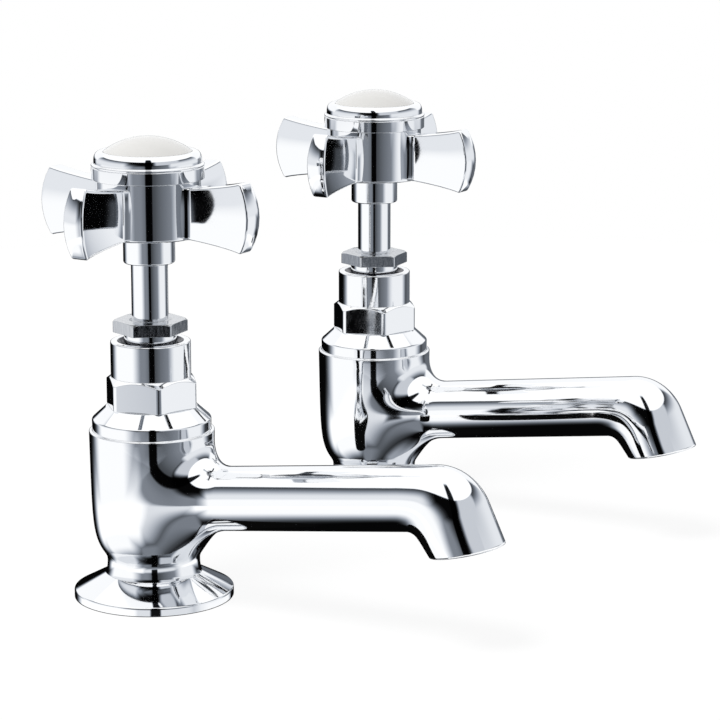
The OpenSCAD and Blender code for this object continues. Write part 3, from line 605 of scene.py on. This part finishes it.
def spindle_shells(h, turn):
    """The spindle: socket for the jumper, lifting thread, bright stem and the square for the handle."""
    foot, socket_r, socket_z, neck_r, run_out = 30.0, 3.1, 43, h.stem_r + 0.6, 0.6
    thread_r, depth, pitch, from_z, to_z = 7.95, 1.0, 2.4, 52.6, 63.4
    square, square_top = 7.0, 126.7
    below = rounded([
        (0, socket_z, 0), (socket_r, socket_z, 0.3), (socket_r, foot, 0.3), (neck_r, foot, 0.4),
        (neck_r, from_z - run_out, 0.2), (thread_r - 0.7, from_z - run_out, 0.2), (thread_r, from_z, 0)])
    above = rounded([
        (thread_r, to_z, 0), (thread_r - 0.7, to_z + run_out, 0.2), (h.stem_r, to_z + run_out, 0.2),
        (h.stem_r, h.stem_top_z, 0.3), (0, h.stem_top_z, 0)])
    stem = threaded(below, thread_r, depth, pitch, from_z, to_z, above, 128)
    return [stem, square_bar(square, h.stem_top_z - 1, square_top, turn)]


# ------------------------------------------------------------------ handle


def paddle_outline(half_h, half_t, r):
    """Points (y, z) round a rectangle with corners rounded to r: each corner's arc, then the side after it.

    half_h, half_t and r are columns, one row each. The sides have a point close to each end.
    """
    per_arc, corner = 7, np.arange(4)
    a = (np.linspace(0, np.pi / 2, per_arc) + corner[:, None] * np.pi / 2).reshape(-1)
    middle = np.pi / 4 + corner * np.pi / 2
    share = np.array([0.02, 0.12, 0.24, 0.37, 0.5, 0.63, 0.76, 0.88, 0.98])

    def ring(facing, reach, on_arc):
        """One coordinate of the arcs and sides, from its sign at each corner."""
        v = (np.sign(facing).repeat(per_arc) * (reach - r) + r * on_arc).reshape(-1, 4, per_arc)
        side = v[:, :, -1:] + (np.roll(v, -1, 1)[:, :, :1] - v[:, :, -1:]) * share
        return np.concatenate([v, side], 2).reshape(len(v), -1)

    return ring(np.cos(middle), half_t, np.cos(a)), ring(np.sin(middle), half_h, np.sin(a))


def paddle_shell(h):
    """One paddle along +X: a rounded rectangle carried from inside the hub to the bowed end.

    Half height grows from root to end with a shallow hollow, and half thickness dips at the waist and
    spreads into the hub. Rows reach x = start + share (end(z) - start), where end(z) is the arc of the
    bow. After the rounded end edge the rows close on the end face's middle line, which stands proud.
    """
    start, corner_x, proud, fillet_r, edge_r = h.hub_r - 5, h.reach - h.bow, 0.5, 1.8, h.edge_r
    full_h, full_t = h.end_h / 2, h.end_t / 2
    bow_r = (full_h ** 2 + h.bow ** 2) / (2 * h.bow)
    crown_r = (full_h ** 2 + h.crown ** 2) / (2 * h.crown)

    def crowned(y, z, half_t):
        """y drawn in above and below the middle, as far as the arc of the crown falls back."""
        return y * (1 - (crown_r - np.sqrt(crown_r ** 2 - z ** 2)) / half_t)

    def end(z):
        """The arc of the bow at height z."""
        return h.reach - proud - (bow_r - np.sqrt(bow_r ** 2 - np.minimum(np.abs(z), full_h) ** 2))

    # rows lie closest where the paddle leaves the hub
    share = np.concatenate([
        np.linspace(0, 0.2, 4)[:-1], np.linspace(0.2, 0.3, 12)[:-1], np.linspace(0.3, 1, 30)])[:, None]
    x = start + share * (corner_x - start)
    u = np.clip((x - h.hub_r) / (corner_x - h.hub_r), 0, 1)
    half_h = h.root_h / 2 + (h.end_h - h.root_h) / 2 * u - h.hollow * 4 * u * (1 - u)
    half_t = h.waist_t / 2 + (h.end_t - h.waist_t) / 2 * (2 * u - 1) ** 2
    past = np.clip(x - math.sqrt(h.hub_r ** 2 - full_t ** 2), 0, fillet_r)
    half_t = half_t + fillet_r - np.sqrt(fillet_r ** 2 - (fillet_r - past) ** 2)
    y, z = paddle_outline(half_h, half_t, edge_r)
    body = np.stack([start + share * (end(z) - edge_r * share ** 8 - start), crowned(y, z, half_t), z], -1)
    # the rounded edge of the end face
    a = np.linspace(0, np.pi / 2, 7)[1:, None]
    inset = edge_r * (1 - np.cos(a))
    y, z = paddle_outline(full_h - inset, full_t - inset, np.maximum(edge_r - inset, 0.02))
    y = crowned(y, z, full_t - inset)
    edge = np.stack([end(z) - edge_r + edge_r * np.sin(a) + 0 * y, y, z], -1)
    # the end face, closing on its middle line
    k = np.array([0.06, 0.2, 0.4, 0.6, 0.8, 1])[:, None]
    y, z = y[-1] * (1 - k), z[-1] * (1 - k) + np.clip(z[-1], full_t - full_h, full_h - full_t) * k
    face = np.stack([end(z) + proud * (1 - (1 - k) ** 2), y, z], -1)
    lid = body[:1] * [1, 0, 1]
    lid[..., 2] = np.clip(lid[..., 2], full_t - h.root_h / 2, h.root_h / 2 - full_t)
    return skin(np.concatenate([lid, body, edge, face]))


def crosshead_shells(h):
    """The crosshead: its turned hub and neck, and four paddles."""
    socket_r, socket_z, recess_r, recess_z = 6.0, h.neck_z + 1.7, 11.1, h.hub_top_z - 6.2
    hub = rounded([
        (0, socket_z, 0), (socket_r, socket_z, 0.2), (socket_r, h.neck_z, 0.2), (h.neck_r, h.neck_z, 0.7),
        (h.neck_r, h.hub_z, 0.4), (h.hub_r, h.hub_z, 0.8), (h.hub_r, h.hub_top_z, 0.15),
        (recess_r, h.hub_top_z, 0.2), (recess_r, recess_z, 0.3), (0, recess_z, 0)])
    points, quads = paddle_shell(h)
    middle = [0, 0, h.hub_z + 8.6]
    paddles = [(turn_about_z(points, h.turn + k * math.pi / 2) + middle, quads) for k in range(4)]
    return [skin(turned(hub, around(160)))] + paddles


def cap_shell(h):
    """The cap: spigot, upright band with a fine bead, and a rounded rim round the button."""
    foot, top_z, band_r, seat_r = h.hub_top_z, h.cap_top_z, h.cap_band_r, h.button_r + 0.06
    spigot_r, spigot_z, band_z, seat_z = 11.0, foot - 5.7, foot + 3.9, foot + 4
    bead_r, bead_z = 0.45, foot + 4.5
    lower = rounded([
        (0, spigot_z, 0), (spigot_r, spigot_z, 0.4), (spigot_r, foot, 0.15), (band_r, foot, 0.25),
        (band_r, band_z, 0.12), (band_r - 0.2, band_z + 0.15, 0)], support=0.04)
    a = np.linspace(-0.75, 1.9, 12)[:, None]
    bead = np.array([band_r - 0.42, bead_z]) + bead_r * np.hstack([np.cos(a), np.sin(a)])
    neck = np.array([[h.cap_r, bead_z + 0.62], [h.cap_r, bead_z + 0.75]])
    bend = np.array([
        [h.cap_r, top_z - 3], [h.cap_r, top_z - 1], [h.cap_r - 0.8, top_z], [h.button_r + 1, top_z]])
    shoulder = cubic(*bend, np.linspace(0, 1, 14)[:, None])
    top = rounded([
        (h.button_r + 0.9, top_z, 0), (seat_r, top_z, 0.3), (seat_r, seat_z, 0.1), (0, seat_z, 0)],
        support=0.05)
    return skin(turned(np.vstack([lower, bead, neck, shoulder, top]), around(192)))


def button_shell(h):
    """The ceramic button: an upright wall under a spherical dome, with a soft edge between them."""
    foot, rise = h.hub_top_z + 4, h.button_top_z - h.cap_top_z
    dome_r = (h.button_r ** 2 + rise ** 2) / (2 * rise)
    a = np.linspace(math.asin((h.button_r - 0.3) / dome_r), 0, 40)[:, None]
    dome = np.hstack([dome_r * np.sin(a), h.button_top_z - dome_r + dome_r * np.cos(a)])
    wall = rounded([
        (0, foot, 0), (h.button_r, foot, 0.3), (h.button_r, h.cap_top_z, 0.12), (*dome[0], 0)], support=0.03)
    return skin(turned(np.vstack([wall[:-1], dome]), around(160)))


# ------------------------------------------------------------------ materials


def feed(tree, socket, value):
    """Links value to socket if it is a socket too, and otherwise sets it there."""
    if isinstance(value, bpy.types.NodeSocket):
        tree.links.new(value, socket)
    else:
        socket.default_value = value


def add_node(tree, kind, *inputs, **values):
    """A new node: inputs go to its sockets in order, and values to the sockets or settings of their names."""
    node = tree.nodes.new(kind)
    for key, value in values.items():
        label = key.replace("_", " ")
        if label in node.inputs:
            feed(tree, node.inputs[label], value)
        else:
            setattr(node, key, value)
    for socket, value in zip(node.inputs, inputs):
        feed(tree, socket, value)
    return node


def empty_material(name):
    """A material with nothing but an output: itself, its tree and the socket for its shader."""
    material = bpy.data.materials.new(name)
    material.use_nodes = True
    tree = material.node_tree
    tree.nodes.clear()
    return material, tree, add_node(tree, "ShaderNodeOutputMaterial").inputs["Surface"]


def finish(name, rgb, gloss, relief, shade=None, **values):
    """A material whose gloss, surface and shade follow patterns, with other inputs of its shader in values.

    A pattern is noise on object coordinates: (scale, detail), or (scale, detail, stretch). gloss is
    (pattern, lowest roughness, highest roughness), relief is (pattern, strength, depth in metres), and
    shade is (pattern, factor), where the factor gives the second colour, mixed into rgb.
    """
    material, tree, surface = empty_material(name)
    made = {}

    def noise(pattern):
        """The pattern's noise node, made once."""
        if pattern not in made:
            scale, detail, stretch = (*pattern, (1, 1, 1))[:3]
            here = add_node(tree, "ShaderNodeTexCoord").outputs["Object"]
            here = add_node(tree, "ShaderNodeMapping", Vector=here, Scale=stretch).outputs["Vector"]
            node = add_node(tree, "ShaderNodeTexNoise", Vector=here, Scale=scale, Detail=detail)
            made[pattern] = node.outputs["Fac"]
        return made[pattern]

    def spread(pattern, low, high):
        """Noise, which runs from about 0.3 to 0.7, spread over low to high."""
        node = add_node(tree, "ShaderNodeMapRange", noise(pattern), 0.3, 0.7, low, high)
        return node.outputs["Result"]

    values["Base Color"] = (*rgb, 1)
    if shade:
        pattern, factor = shade
        values["Base Color"] = add_node(
            tree, "ShaderNodeMix", data_type="RGBA", Factor=spread(pattern, 0, 1), A=(*rgb, 1),
            B=(*[min(1, factor * c) for c in rgb], 1)).outputs["Result"]
    if gloss:
        values["Roughness"] = spread(*gloss)
    pattern, strength, depth = relief
    raised = add_node(tree, "ShaderNodeBump", Height=noise(pattern), Strength=strength, Distance=depth)
    shader = add_node(tree, "ShaderNodeBsdfPrincipled", Normal=raised.outputs["Normal"])
    for key, value in values.items():
        feed(tree, shader.inputs[key.replace("_", " ")], value)
    tree.links.new(shader.outputs["BSDF"], surface)
    return material


def chrome(name, rgb, waviness=0.1):
    """Polished chrome plate: a mirror with faint wavy polish and slightly uneven gloss."""
    return finish(name, rgb, ((260, 4), 0.03, 0.06), ((55, 1), waviness, 0.0004), Metallic=1.0)


def turned_chrome(name, rgb):
    """Chrome over turned brass: fine level rings left by the tool, under the plate."""
    tool_rings = (1, 2, (6, 6, 900))
    return finish(name, rgb, ((300, 3), 0.04, 0.08), (tool_rings, 0.12, 0.00004), Metallic=1.0)


def milled_chrome(name, rgb):
    """Chrome over milled flats: short upright tool marks that scatter the light."""
    marks = (1, 3, (1500, 1500, 260))
    return finish(name, rgb, (marks, 0.12, 0.26), (marks, 0.45, 0.00008), Metallic=1.0)


def glaze(name, rgb):
    """Glazed ceramic: cream-white under a clear coat, with the faint unevenness of a fired glaze."""
    return finish(name, rgb, None, ((90, 2), 0.08, 0.0003), ((140, 3), 0.96),
                  Roughness=0.22, Coat_Weight=0.8, Coat_Roughness=0.04)


def metal(name, rgb, rough, stretch):
    """Bare machined metal: turning marks in its gloss and a slightly uneven colour."""
    marks = (1, 3, stretch)
    gloss = (marks, rough * 0.7, rough * 1.4)
    return finish(name, rgb, gloss, (marks, 0.2, 0.0001), ((180, 4), 0.82), Metallic=1.0)


def soft(name, rgb, rough, scale, depth):
    """Rubber, fibre, graphite or nylon: matt, with a grain of its own in colour and surface."""
    grain = (scale, 6)
    gloss = (grain, rough * 0.85, min(1, rough * 1.15))
    return finish(name, rgb, gloss, (grain, 0.3, depth), (grain, 1.35))


# ------------------------------------------------------------------ operators


def settings():
    """The sizes and colours that the panel shows."""
    return bpy.context.scene.pillar_taps


class TAPS_OT_castings(Operator):
    """Cast bodies: flange, neck, barrel, shoulder and the bent spout, in one skin each"""
    bl_idname = "pillar_taps.castings"
    bl_label = "Castings"

    def execute(self, context):
        c, shells = settings().colours, casting_shells(Millimetres(settings().casting))
        make_pieces(
            FIXED,
            ("casting", shells, chrome("casting_chrome", c.chrome), "chrome_cast", "body"),
            ("tail", [tail_shell()], milled_chrome("tail_chrome", c.milled), "chrome_cast"))
        return {"FINISHED"}


class TAPS_OT_headworks(Operator):
    """Bonnets and gland nuts"""
    bl_idname = "pillar_taps.headworks"
    bl_label = "Headworks"

    def execute(self, context):
        c, h = settings().colours, Millimetres(settings().headwork)
        plate = turned_chrome("bonnet_chrome", c.chrome)
        # painted shade: the gland's thread and the ring in the bonnet's mouth are dark grey, partly bare metal
        # and partly painted shade of the mouth
        flats, bare_metal_and_shade = milled_chrome("gland_chrome", c.milled), milled_chrome("gland_thread", c.thread)
        bonnet = bonnet_shell(h, Millimetres(settings().casting).top_z)
        nut, relief, shank = gland_shells(h)
        make_pieces(
            FIXED,
            ("bonnet_skin", [bonnet], plate, "chrome_turned", "bonnet"),
            ("gland_skin", [nut], flats, "chrome_turned", "gland_nut"),
            ("gland_relief", [relief], plate, "chrome_turned"),
            ("gland_thread", [shank], bare_metal_and_shade, "chrome_turned"),
            ("bonnet_mouth", [mouth_shell(h)], bare_metal_and_shade, "chrome_turned"))
        return {"FINISHED"}


class TAPS_OT_spindles(Operator):
    """Spindles that turn and rise with the handles"""
    bl_idname = "pillar_taps.spindles"
    bl_label = "Spindles"

    def execute(self, context):
        shells = spindle_shells(Millimetres(settings().headwork), Millimetres(settings().handle).turn)
        plate = turned_chrome("spindle_chrome", settings().colours.chrome)
        make_pieces(HANDLE, ("spindle_skin", shells, plate, "chrome_turned", "spindle"))
        return {"FINISHED"}


class TAPS_OT_handles(Operator):
    """Crossheads with four paddles, their caps and their ceramic buttons"""
    bl_idname = "pillar_taps.handles"
    bl_label = "Handles"

    def execute(self, context):
        c, h = settings().colours, Millimetres(settings().handle)
        cross_plate = chrome("handle_chrome", c.chrome, waviness=0.06)
        cap_plate = chrome("cap_chrome", c.chrome, waviness=0.03)
        white = glaze("button_ceramic", c.ceramic)
        make_pieces(
            HANDLE,
            ("crosshead_skin", crosshead_shells(h), cross_plate, "chrome_handle", "crosshead"),
            ("cap_skin", [cap_shell(h)], cap_plate, "chrome_handle", "cap"),
            ("button_dome", [button_shell(h)], white, "ceramic", "button"))
        return {"FINISHED"}


class TAPS_OT_inner_pieces(Operator):
    """Finishes of the pieces that the taps hold inside or under the deck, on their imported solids"""
    bl_idname = "pillar_taps.inner_pieces"
    bl_label = "Inner pieces"

    def execute(self, context):
        c = settings().colours
        finishes = {
            "base_gasket": soft("gasket_rubber", c.rubber, 0.75, 900, 0.0001),
            "clamp_washer": soft("washer_nylon", c.nylon, 0.5, 500, 0.00005),
            "backnut": metal("backnut_brass", c.brass, 0.28, (8, 8, 700)),
            "bonnet_seal": soft("seal_fibre", c.fibre, 0.8, 1400, 0.0001),
            "packing": soft("packing_graphite", c.graphite, 0.55, 1200, 0.0001),
            "gland_follower": metal("follower_brass", c.brass, 0.25, (8, 8, 900)),
            "jumper": metal("jumper_brass", c.brass, 0.3, (8, 8, 800)),
            "valve_washer": soft("valve_rubber", c.rubber, 0.6, 800, 0.00008),
            "washer_nut": metal("washer_nut_brass", c.brass, 0.3, (500, 500, 60)),
            "handle_screw": metal("screw_steel", c.steel, 0.3, (9, 9, 900)),
        }
        for piece, material in finishes.items():
            for side, _ in SIDES:
                mesh = frame["nodes"][f"{side}_{piece}"].data
                mesh.materials.clear()
                mesh.materials.append(material)
        return {"FINISHED"}


# ------------------------------------------------------------------ stage


# Soft boxes of the tent, as seen from the near tap. Azimuths are in degrees from the camera, to the
# right positive, and elevations from level: (from, full, full to, gone) for each, then the brightness
# that a mirror shows.
SOFT_BOXES = {
    "ceiling": ((-400, -390, 390, 400), (32, 35, 100, 110), 1.0),
    "left": ((-144, -106, -52, 2), (-80, -42, -6, 26), 0.98),
    "left, upper": ((-150, -130, -50, -24), (-10, 0, 6, 46), 0.9),
    "front left": ((-80, -60, -16, 34), (-60, -32, -2, 12), 0.5),
    "front right": ((-40, 62, 70, 90), (-52, -24, 1, 9), 0.5),
    "front right, upper": ((11, 24, 70, 90), (1, 10, 60, 70), 0.78),
    "right": ((30, 76, 108, 140), (-80, -42, -4, 26), 0.93),
    "right, upper": ((36, 56, 130, 150), (-10, 0, 6, 46), 0.9),
    "low left": ((-150, -120, -27, 7), (-64, -30, -23, -14), 1.0),
    "low middle": ((-60, -30, 50, 110), (-56, -26, -23.5, -15), 0.87),
    "low right": ((-10, 90, 135, 160), (-64, -30, -25, -14), 1.0),
    "table": ((-50, -20, 0, 80), (-110, -100, -50, -30), 0.48),
    "back left": ((-400, -390, -128, -108), (0, 8, 60, 70), 0.97),
    "back, level": ((112, 138, 172, 182), (-17, -12, 0, 8), 0.4),
    "back right": ((112, 132, 390, 400), (0, 8, 60, 70), 0.97),
}
# a black card in front of them, with its share of what it covers
BLACK_CARD = ((-3, 0, 11, 14), (-36, -28, 60, 70), 0.9)
# what a mirror shows at a few levels: greys are cool, black and white are neutral
TONES = (
    (0.0, (0.02, 0.02, 0.02)), (0.06, (0.06, 0.06, 0.062)), (0.15, (0.145, 0.15, 0.158)),
    (0.3, (0.286, 0.3, 0.318)), (0.45, (0.43, 0.45, 0.48)), (0.6, (0.578, 0.6, 0.635)),
    (0.75, (0.733, 0.75, 0.778)), (0.9, (0.89, 0.9, 0.915)), (1.0, (1.015, 1.015, 1.015)))
# where the directions are taken from, the ball that shows them, and its level outside all soft boxes
TENT_FROM, TENT_MIDDLE, TENT_R, TENT_DARK = (0.0, 0.0, 0.09), (0.04, 0.06, 0.08), 0.6, 0.05
# radius and height, in millimetres, of the outline of a sleeve round a tail, a near-black sheet that mirrors
# show as painted shade under the tap
SLEEVE = ((0, -0.2), (27, -0.2), (27, -56), (0, -56))
FLOOR_MIDDLE, FLOOR_R = (0.06, 0.09, 0), 0.65
# the floor's paint, and the share of plain white in what the eye and a mirror see of it
FLOOR_PAINT, FLOOR_SEEN, FLOOR_MIRRORED = 0.75, 0.8, 0.15
CAMERA_AT, CAMERA_LENS, CAMERA_SENSOR = (0.5067, -0.7430, 0.2706), 142.5, 36.0
CAMERA_TILT, CAMERA_TURN = math.radians(77.9), math.radians(30.0)
LAMP_AT, LAMP_AIM, LAMP_SIZE = Vector((-0.3, -0.95, 2.3)), Vector((0.04, 0.07, 0.05)), 1.05
# the light on a level white surface, in all and from the lamp alone
LIGHT, LAMP_SHARE = 0.95, 0.55


def calc(tree, operation, *values):
    """A Math node on numbers and sockets."""
    return add_node(tree, "ShaderNodeMath", *values, operation=operation).outputs["Value"]


def window(tree, value, edges):
    """1 between the middle two edges, 0 outside the outer two, and a smooth step from one to the other."""
    steps = [
        add_node(tree, "ShaderNodeMapRange", value, first, last, low, 1.0 - low,
                 interpolation_type="SMOOTHSTEP").outputs["Result"]
        for first, last, low in ((*edges[:2], 0.0), (*edges[2:], 1.0))]
    return calc(tree, "MULTIPLY", *steps)


def tent_material(mirror):
    """Soft boxes and dark gaps by direction from the near tap, for rays that leave a mirror."""
    material, tree, surface = empty_material("tent_light")
    here = add_node(tree, "ShaderNodeTexCoord").outputs["Object"]
    away = add_node(tree, "ShaderNodeVectorMath", here, TENT_FROM, operation="SUBTRACT").outputs["Vector"]
    away = add_node(tree, "ShaderNodeVectorMath", away, operation="NORMALIZE").outputs["Vector"]
    away = add_node(tree, "ShaderNodeVectorRotate", rotation_type="Z_AXIS", Angle=-CAMERA_TURN, Vector=away)
    parts = add_node(tree, "ShaderNodeSeparateXYZ", away.outputs["Vector"]).outputs
    back = calc(tree, "MULTIPLY", parts["Y"], -1.0)
    azimuth = calc(tree, "DEGREES", calc(tree, "ARCTAN2", parts["X"], back))
    elevation = calc(tree, "DEGREES", calc(tree, "ARCSINE", parts["Z"]))

    def patch(across, upright, share):
        """share inside a patch of the tent, and 0 outside it."""
        inside = calc(tree, "MULTIPLY", window(tree, azimuth, across), window(tree, elevation, upright))
        return calc(tree, "MULTIPLY", inside, share)

    level = TENT_DARK
    for box in SOFT_BOXES.values():
        level = calc(tree, "MAXIMUM", patch(*box), level)
    level = calc(tree, "MULTIPLY", level, calc(tree, "SUBTRACT", 1.0, patch(*BLACK_CARD)))
    ramp = add_node(tree, "ShaderNodeValToRGB", level)
    stops = ramp.color_ramp.elements
    stops[0].position, stops[1].position = TONES[0][0], TONES[-1][0]
    for at, _ in TONES[1:-1]:
        stops.new(at)
    for stop, (_, shown) in zip(stops, TONES):
        stop.color = [c ** 2.2 for c in shown] + [1]
    glow = add_node(tree, "ShaderNodeEmission", ramp.outputs["Color"], 1 / mirror)
    tree.links.new(glow.outputs["Emission"], surface)
    material.cycles.emission_sampling = "NONE"
    return material


def sleeve_material():
    """Nearly black, for the sleeves round the tails, which mirrors show as painted shade under the taps."""
    material, tree, surface = empty_material("sleeve_black")
    glow = add_node(tree, "ShaderNodeEmission", (0.003, 0.003, 0.003, 1))
    tree.links.new(glow.outputs["Emission"], surface)
    return material


def direct_ray(tree):
    """1 for camera, glossy and transmission rays, which show the background, and 0 for light on things."""
    path = add_node(tree, "ShaderNodeLightPath").outputs
    bounced = calc(tree, "MAXIMUM", path["Is Glossy Ray"], path["Is Transmission Ray"])
    return calc(tree, "MAXIMUM", path["Is Camera Ray"], bounced)


def floor_material(paint, seen_share, mirror_share):
    """Pale floor: its shading with the shadows, lifted to white for the eye where nothing shades it."""
    material, tree, surface = empty_material("floor_white")
    path = add_node(tree, "ShaderNodeLightPath").outputs
    matt = add_node(tree, "ShaderNodeBsdfDiffuse", (paint, paint, paint, 1))
    glow = add_node(tree, "ShaderNodeEmission", (1, 1, 1, 1), (1.04 - (1 - seen_share) * paint) / seen_share)
    bounced = calc(tree, "MAXIMUM", path["Is Glossy Ray"], path["Is Transmission Ray"])
    share = calc(tree, "ADD", calc(tree, "MULTIPLY", path["Is Camera Ray"], seen_share),
                 calc(tree, "MULTIPLY", bounced, mirror_share))
    mix = add_node(tree, "ShaderNodeMixShader", share, matt.outputs["BSDF"], glow.outputs["Emission"])
    tree.links.new(mix.outputs["Shader"], surface)
    material.cycles.emission_sampling = "NONE"
    return material


def stage_object(name, points, faces, material):
    """A smooth mesh of the stage, from points in metres."""
    mesh = bpy.data.meshes.new(name)
    mesh.from_pydata(points.tolist(), [], faces.tolist())
    mesh.polygons.foreach_set("use_smooth", np.ones(len(faces), bool))
    mesh.materials.append(material)
    thing = bpy.data.objects.new(name, mesh)
    bpy.context.scene.collection.objects.link(thing)
    return thing


class TAPS_OT_stage(Operator):
    """Pale floor, tent of soft boxes round the taps, sleeves of painted shade round the tails, one large lamp
    and the camera
    """
    bl_idname = "pillar_taps.stage"
    bl_label = "Stage"

    def execute(self, context):
        scene = context.scene
        scene.view_settings.view_transform = "Standard"
        camera = bpy.data.objects.new("camera", bpy.data.cameras.new("camera"))
        camera.data.lens, camera.data.sensor_width = CAMERA_LENS, CAMERA_SENSOR
        camera.data.clip_start, camera.data.clip_end = 0.05, 50.0
        camera.location, camera.rotation_euler = CAMERA_AT, (CAMERA_TILT, 0.0, CAMERA_TURN)
        scene.collection.objects.link(camera)
        scene.camera = camera
        # the world is white to the eye and in mirrors, and lights the rest with less
        world = bpy.data.worlds.new("studio")
        world.use_nodes = True
        tree = world.node_tree
        rest = LIGHT - LAMP_SHARE
        strength = calc(tree, "MULTIPLY_ADD", direct_ray(tree), 1 - rest, rest)
        for socket, value in zip(tree.nodes["Background"].inputs, ((1, 1, 1, 1), strength)):
            feed(tree, socket, value)
        world.cycles.sampling_method = "NONE"
        scene.world = world
        # the lamp, with the energy that gives a level surface its share
        lamp = bpy.data.lights.new("lamp", "AREA")
        lamp.shape, lamp.size = "DISK", LAMP_SIZE
        lamp.energy = LAMP_SHARE * math.pi ** 2 * (LAMP_AT - LAMP_AIM).length ** 3 / LAMP_AT.z
        holder = bpy.data.objects.new("lamp", lamp)
        holder.location = LAMP_AT
        holder.rotation_euler = (LAMP_AT - LAMP_AIM).to_track_quat("Z", "Y").to_euler()
        holder.visible_glossy = False
        scene.collection.objects.link(holder)
        # what only mirrors see: the tent, and a dark sleeve of painted shade that hides the pieces under the
        # deck
        rise = np.linspace(-np.pi / 2, np.pi / 2, 33)[:, None]
        points, quads = skin(TENT_MIDDLE + TENT_R * polar(np.cos(rise), around(64), np.sin(rise)))
        mirrored = [stage_object("tent", points, quads, tent_material(settings().colours.chrome[1]))]
        black = sleeve_material()
        points, quads = skin(turned(np.array(SLEEVE), around(48)))
        for side, y in SIDES:
            mirrored.append(stage_object(f"{side}_sleeve", (points + [0, y, 0]) / 1000, quads, black))
        for thing in mirrored:
            thing.visible_camera = thing.visible_transmission = False
            thing.visible_diffuse = thing.visible_shadow = False
        # the floor, a disc wide enough to hide the tails in every view from above
        rim = polar(FLOOR_R, around(96), 0) + FLOOR_MIDDLE
        pale = floor_material(FLOOR_PAINT, FLOOR_SEEN, FLOOR_MIRRORED)
        floor = stage_object("floor", rim, np.arange(len(rim))[None], pale)
        floor.visible_glossy = False
        return {"FINISHED"}


class TAPS_PT_panel(Panel):
    """Lists the pieces of the taps"""
    bl_idname = "TAPS_PT_panel"
    bl_label = "Pillar taps"
    bl_space_type = "VIEW_3D"
    bl_region_type = "UI"
    bl_category = "Pillar taps"

    def draw(self, context):
        for operator in OPERATORS:
            self.layout.operator(operator.bl_idname)
        for group in ("casting", "headwork", "handle", "colours"):
            box = self.layout.box()
            box.label(text=group.capitalize())
            values = getattr(context.scene.pillar_taps, group)
            for name in values.__annotations__:
                box.prop(values, name)


GROUPS = (CastingSizes, HeadworkSizes, HandleSizes, TapColours, PillarTaps)
OPERATORS = (
    TAPS_OT_stage, TAPS_OT_castings, TAPS_OT_headworks, TAPS_OT_spindles, TAPS_OT_handles,
    TAPS_OT_inner_pieces)


def register():
    for cls in GROUPS + OPERATORS + (TAPS_PT_panel,):
        bpy.utils.register_class(cls)
    bpy.types.Scene.pillar_taps = PointerProperty(type=PillarTaps)


def unregister():
    del bpy.types.Scene.pillar_taps
    for cls in reversed(GROUPS + OPERATORS + (TAPS_PT_panel,)):
        bpy.utils.unregister_class(cls)


def main():
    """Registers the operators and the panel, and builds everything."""
    register()
    bpy.ops.pillar_taps.stage()
    bpy.ops.pillar_taps.castings()
    bpy.ops.pillar_taps.headworks()
    bpy.ops.pillar_taps.spindles()
    bpy.ops.pillar_taps.handles()
    bpy.ops.pillar_taps.inner_pieces()


if __name__ == "__main__":
    main()
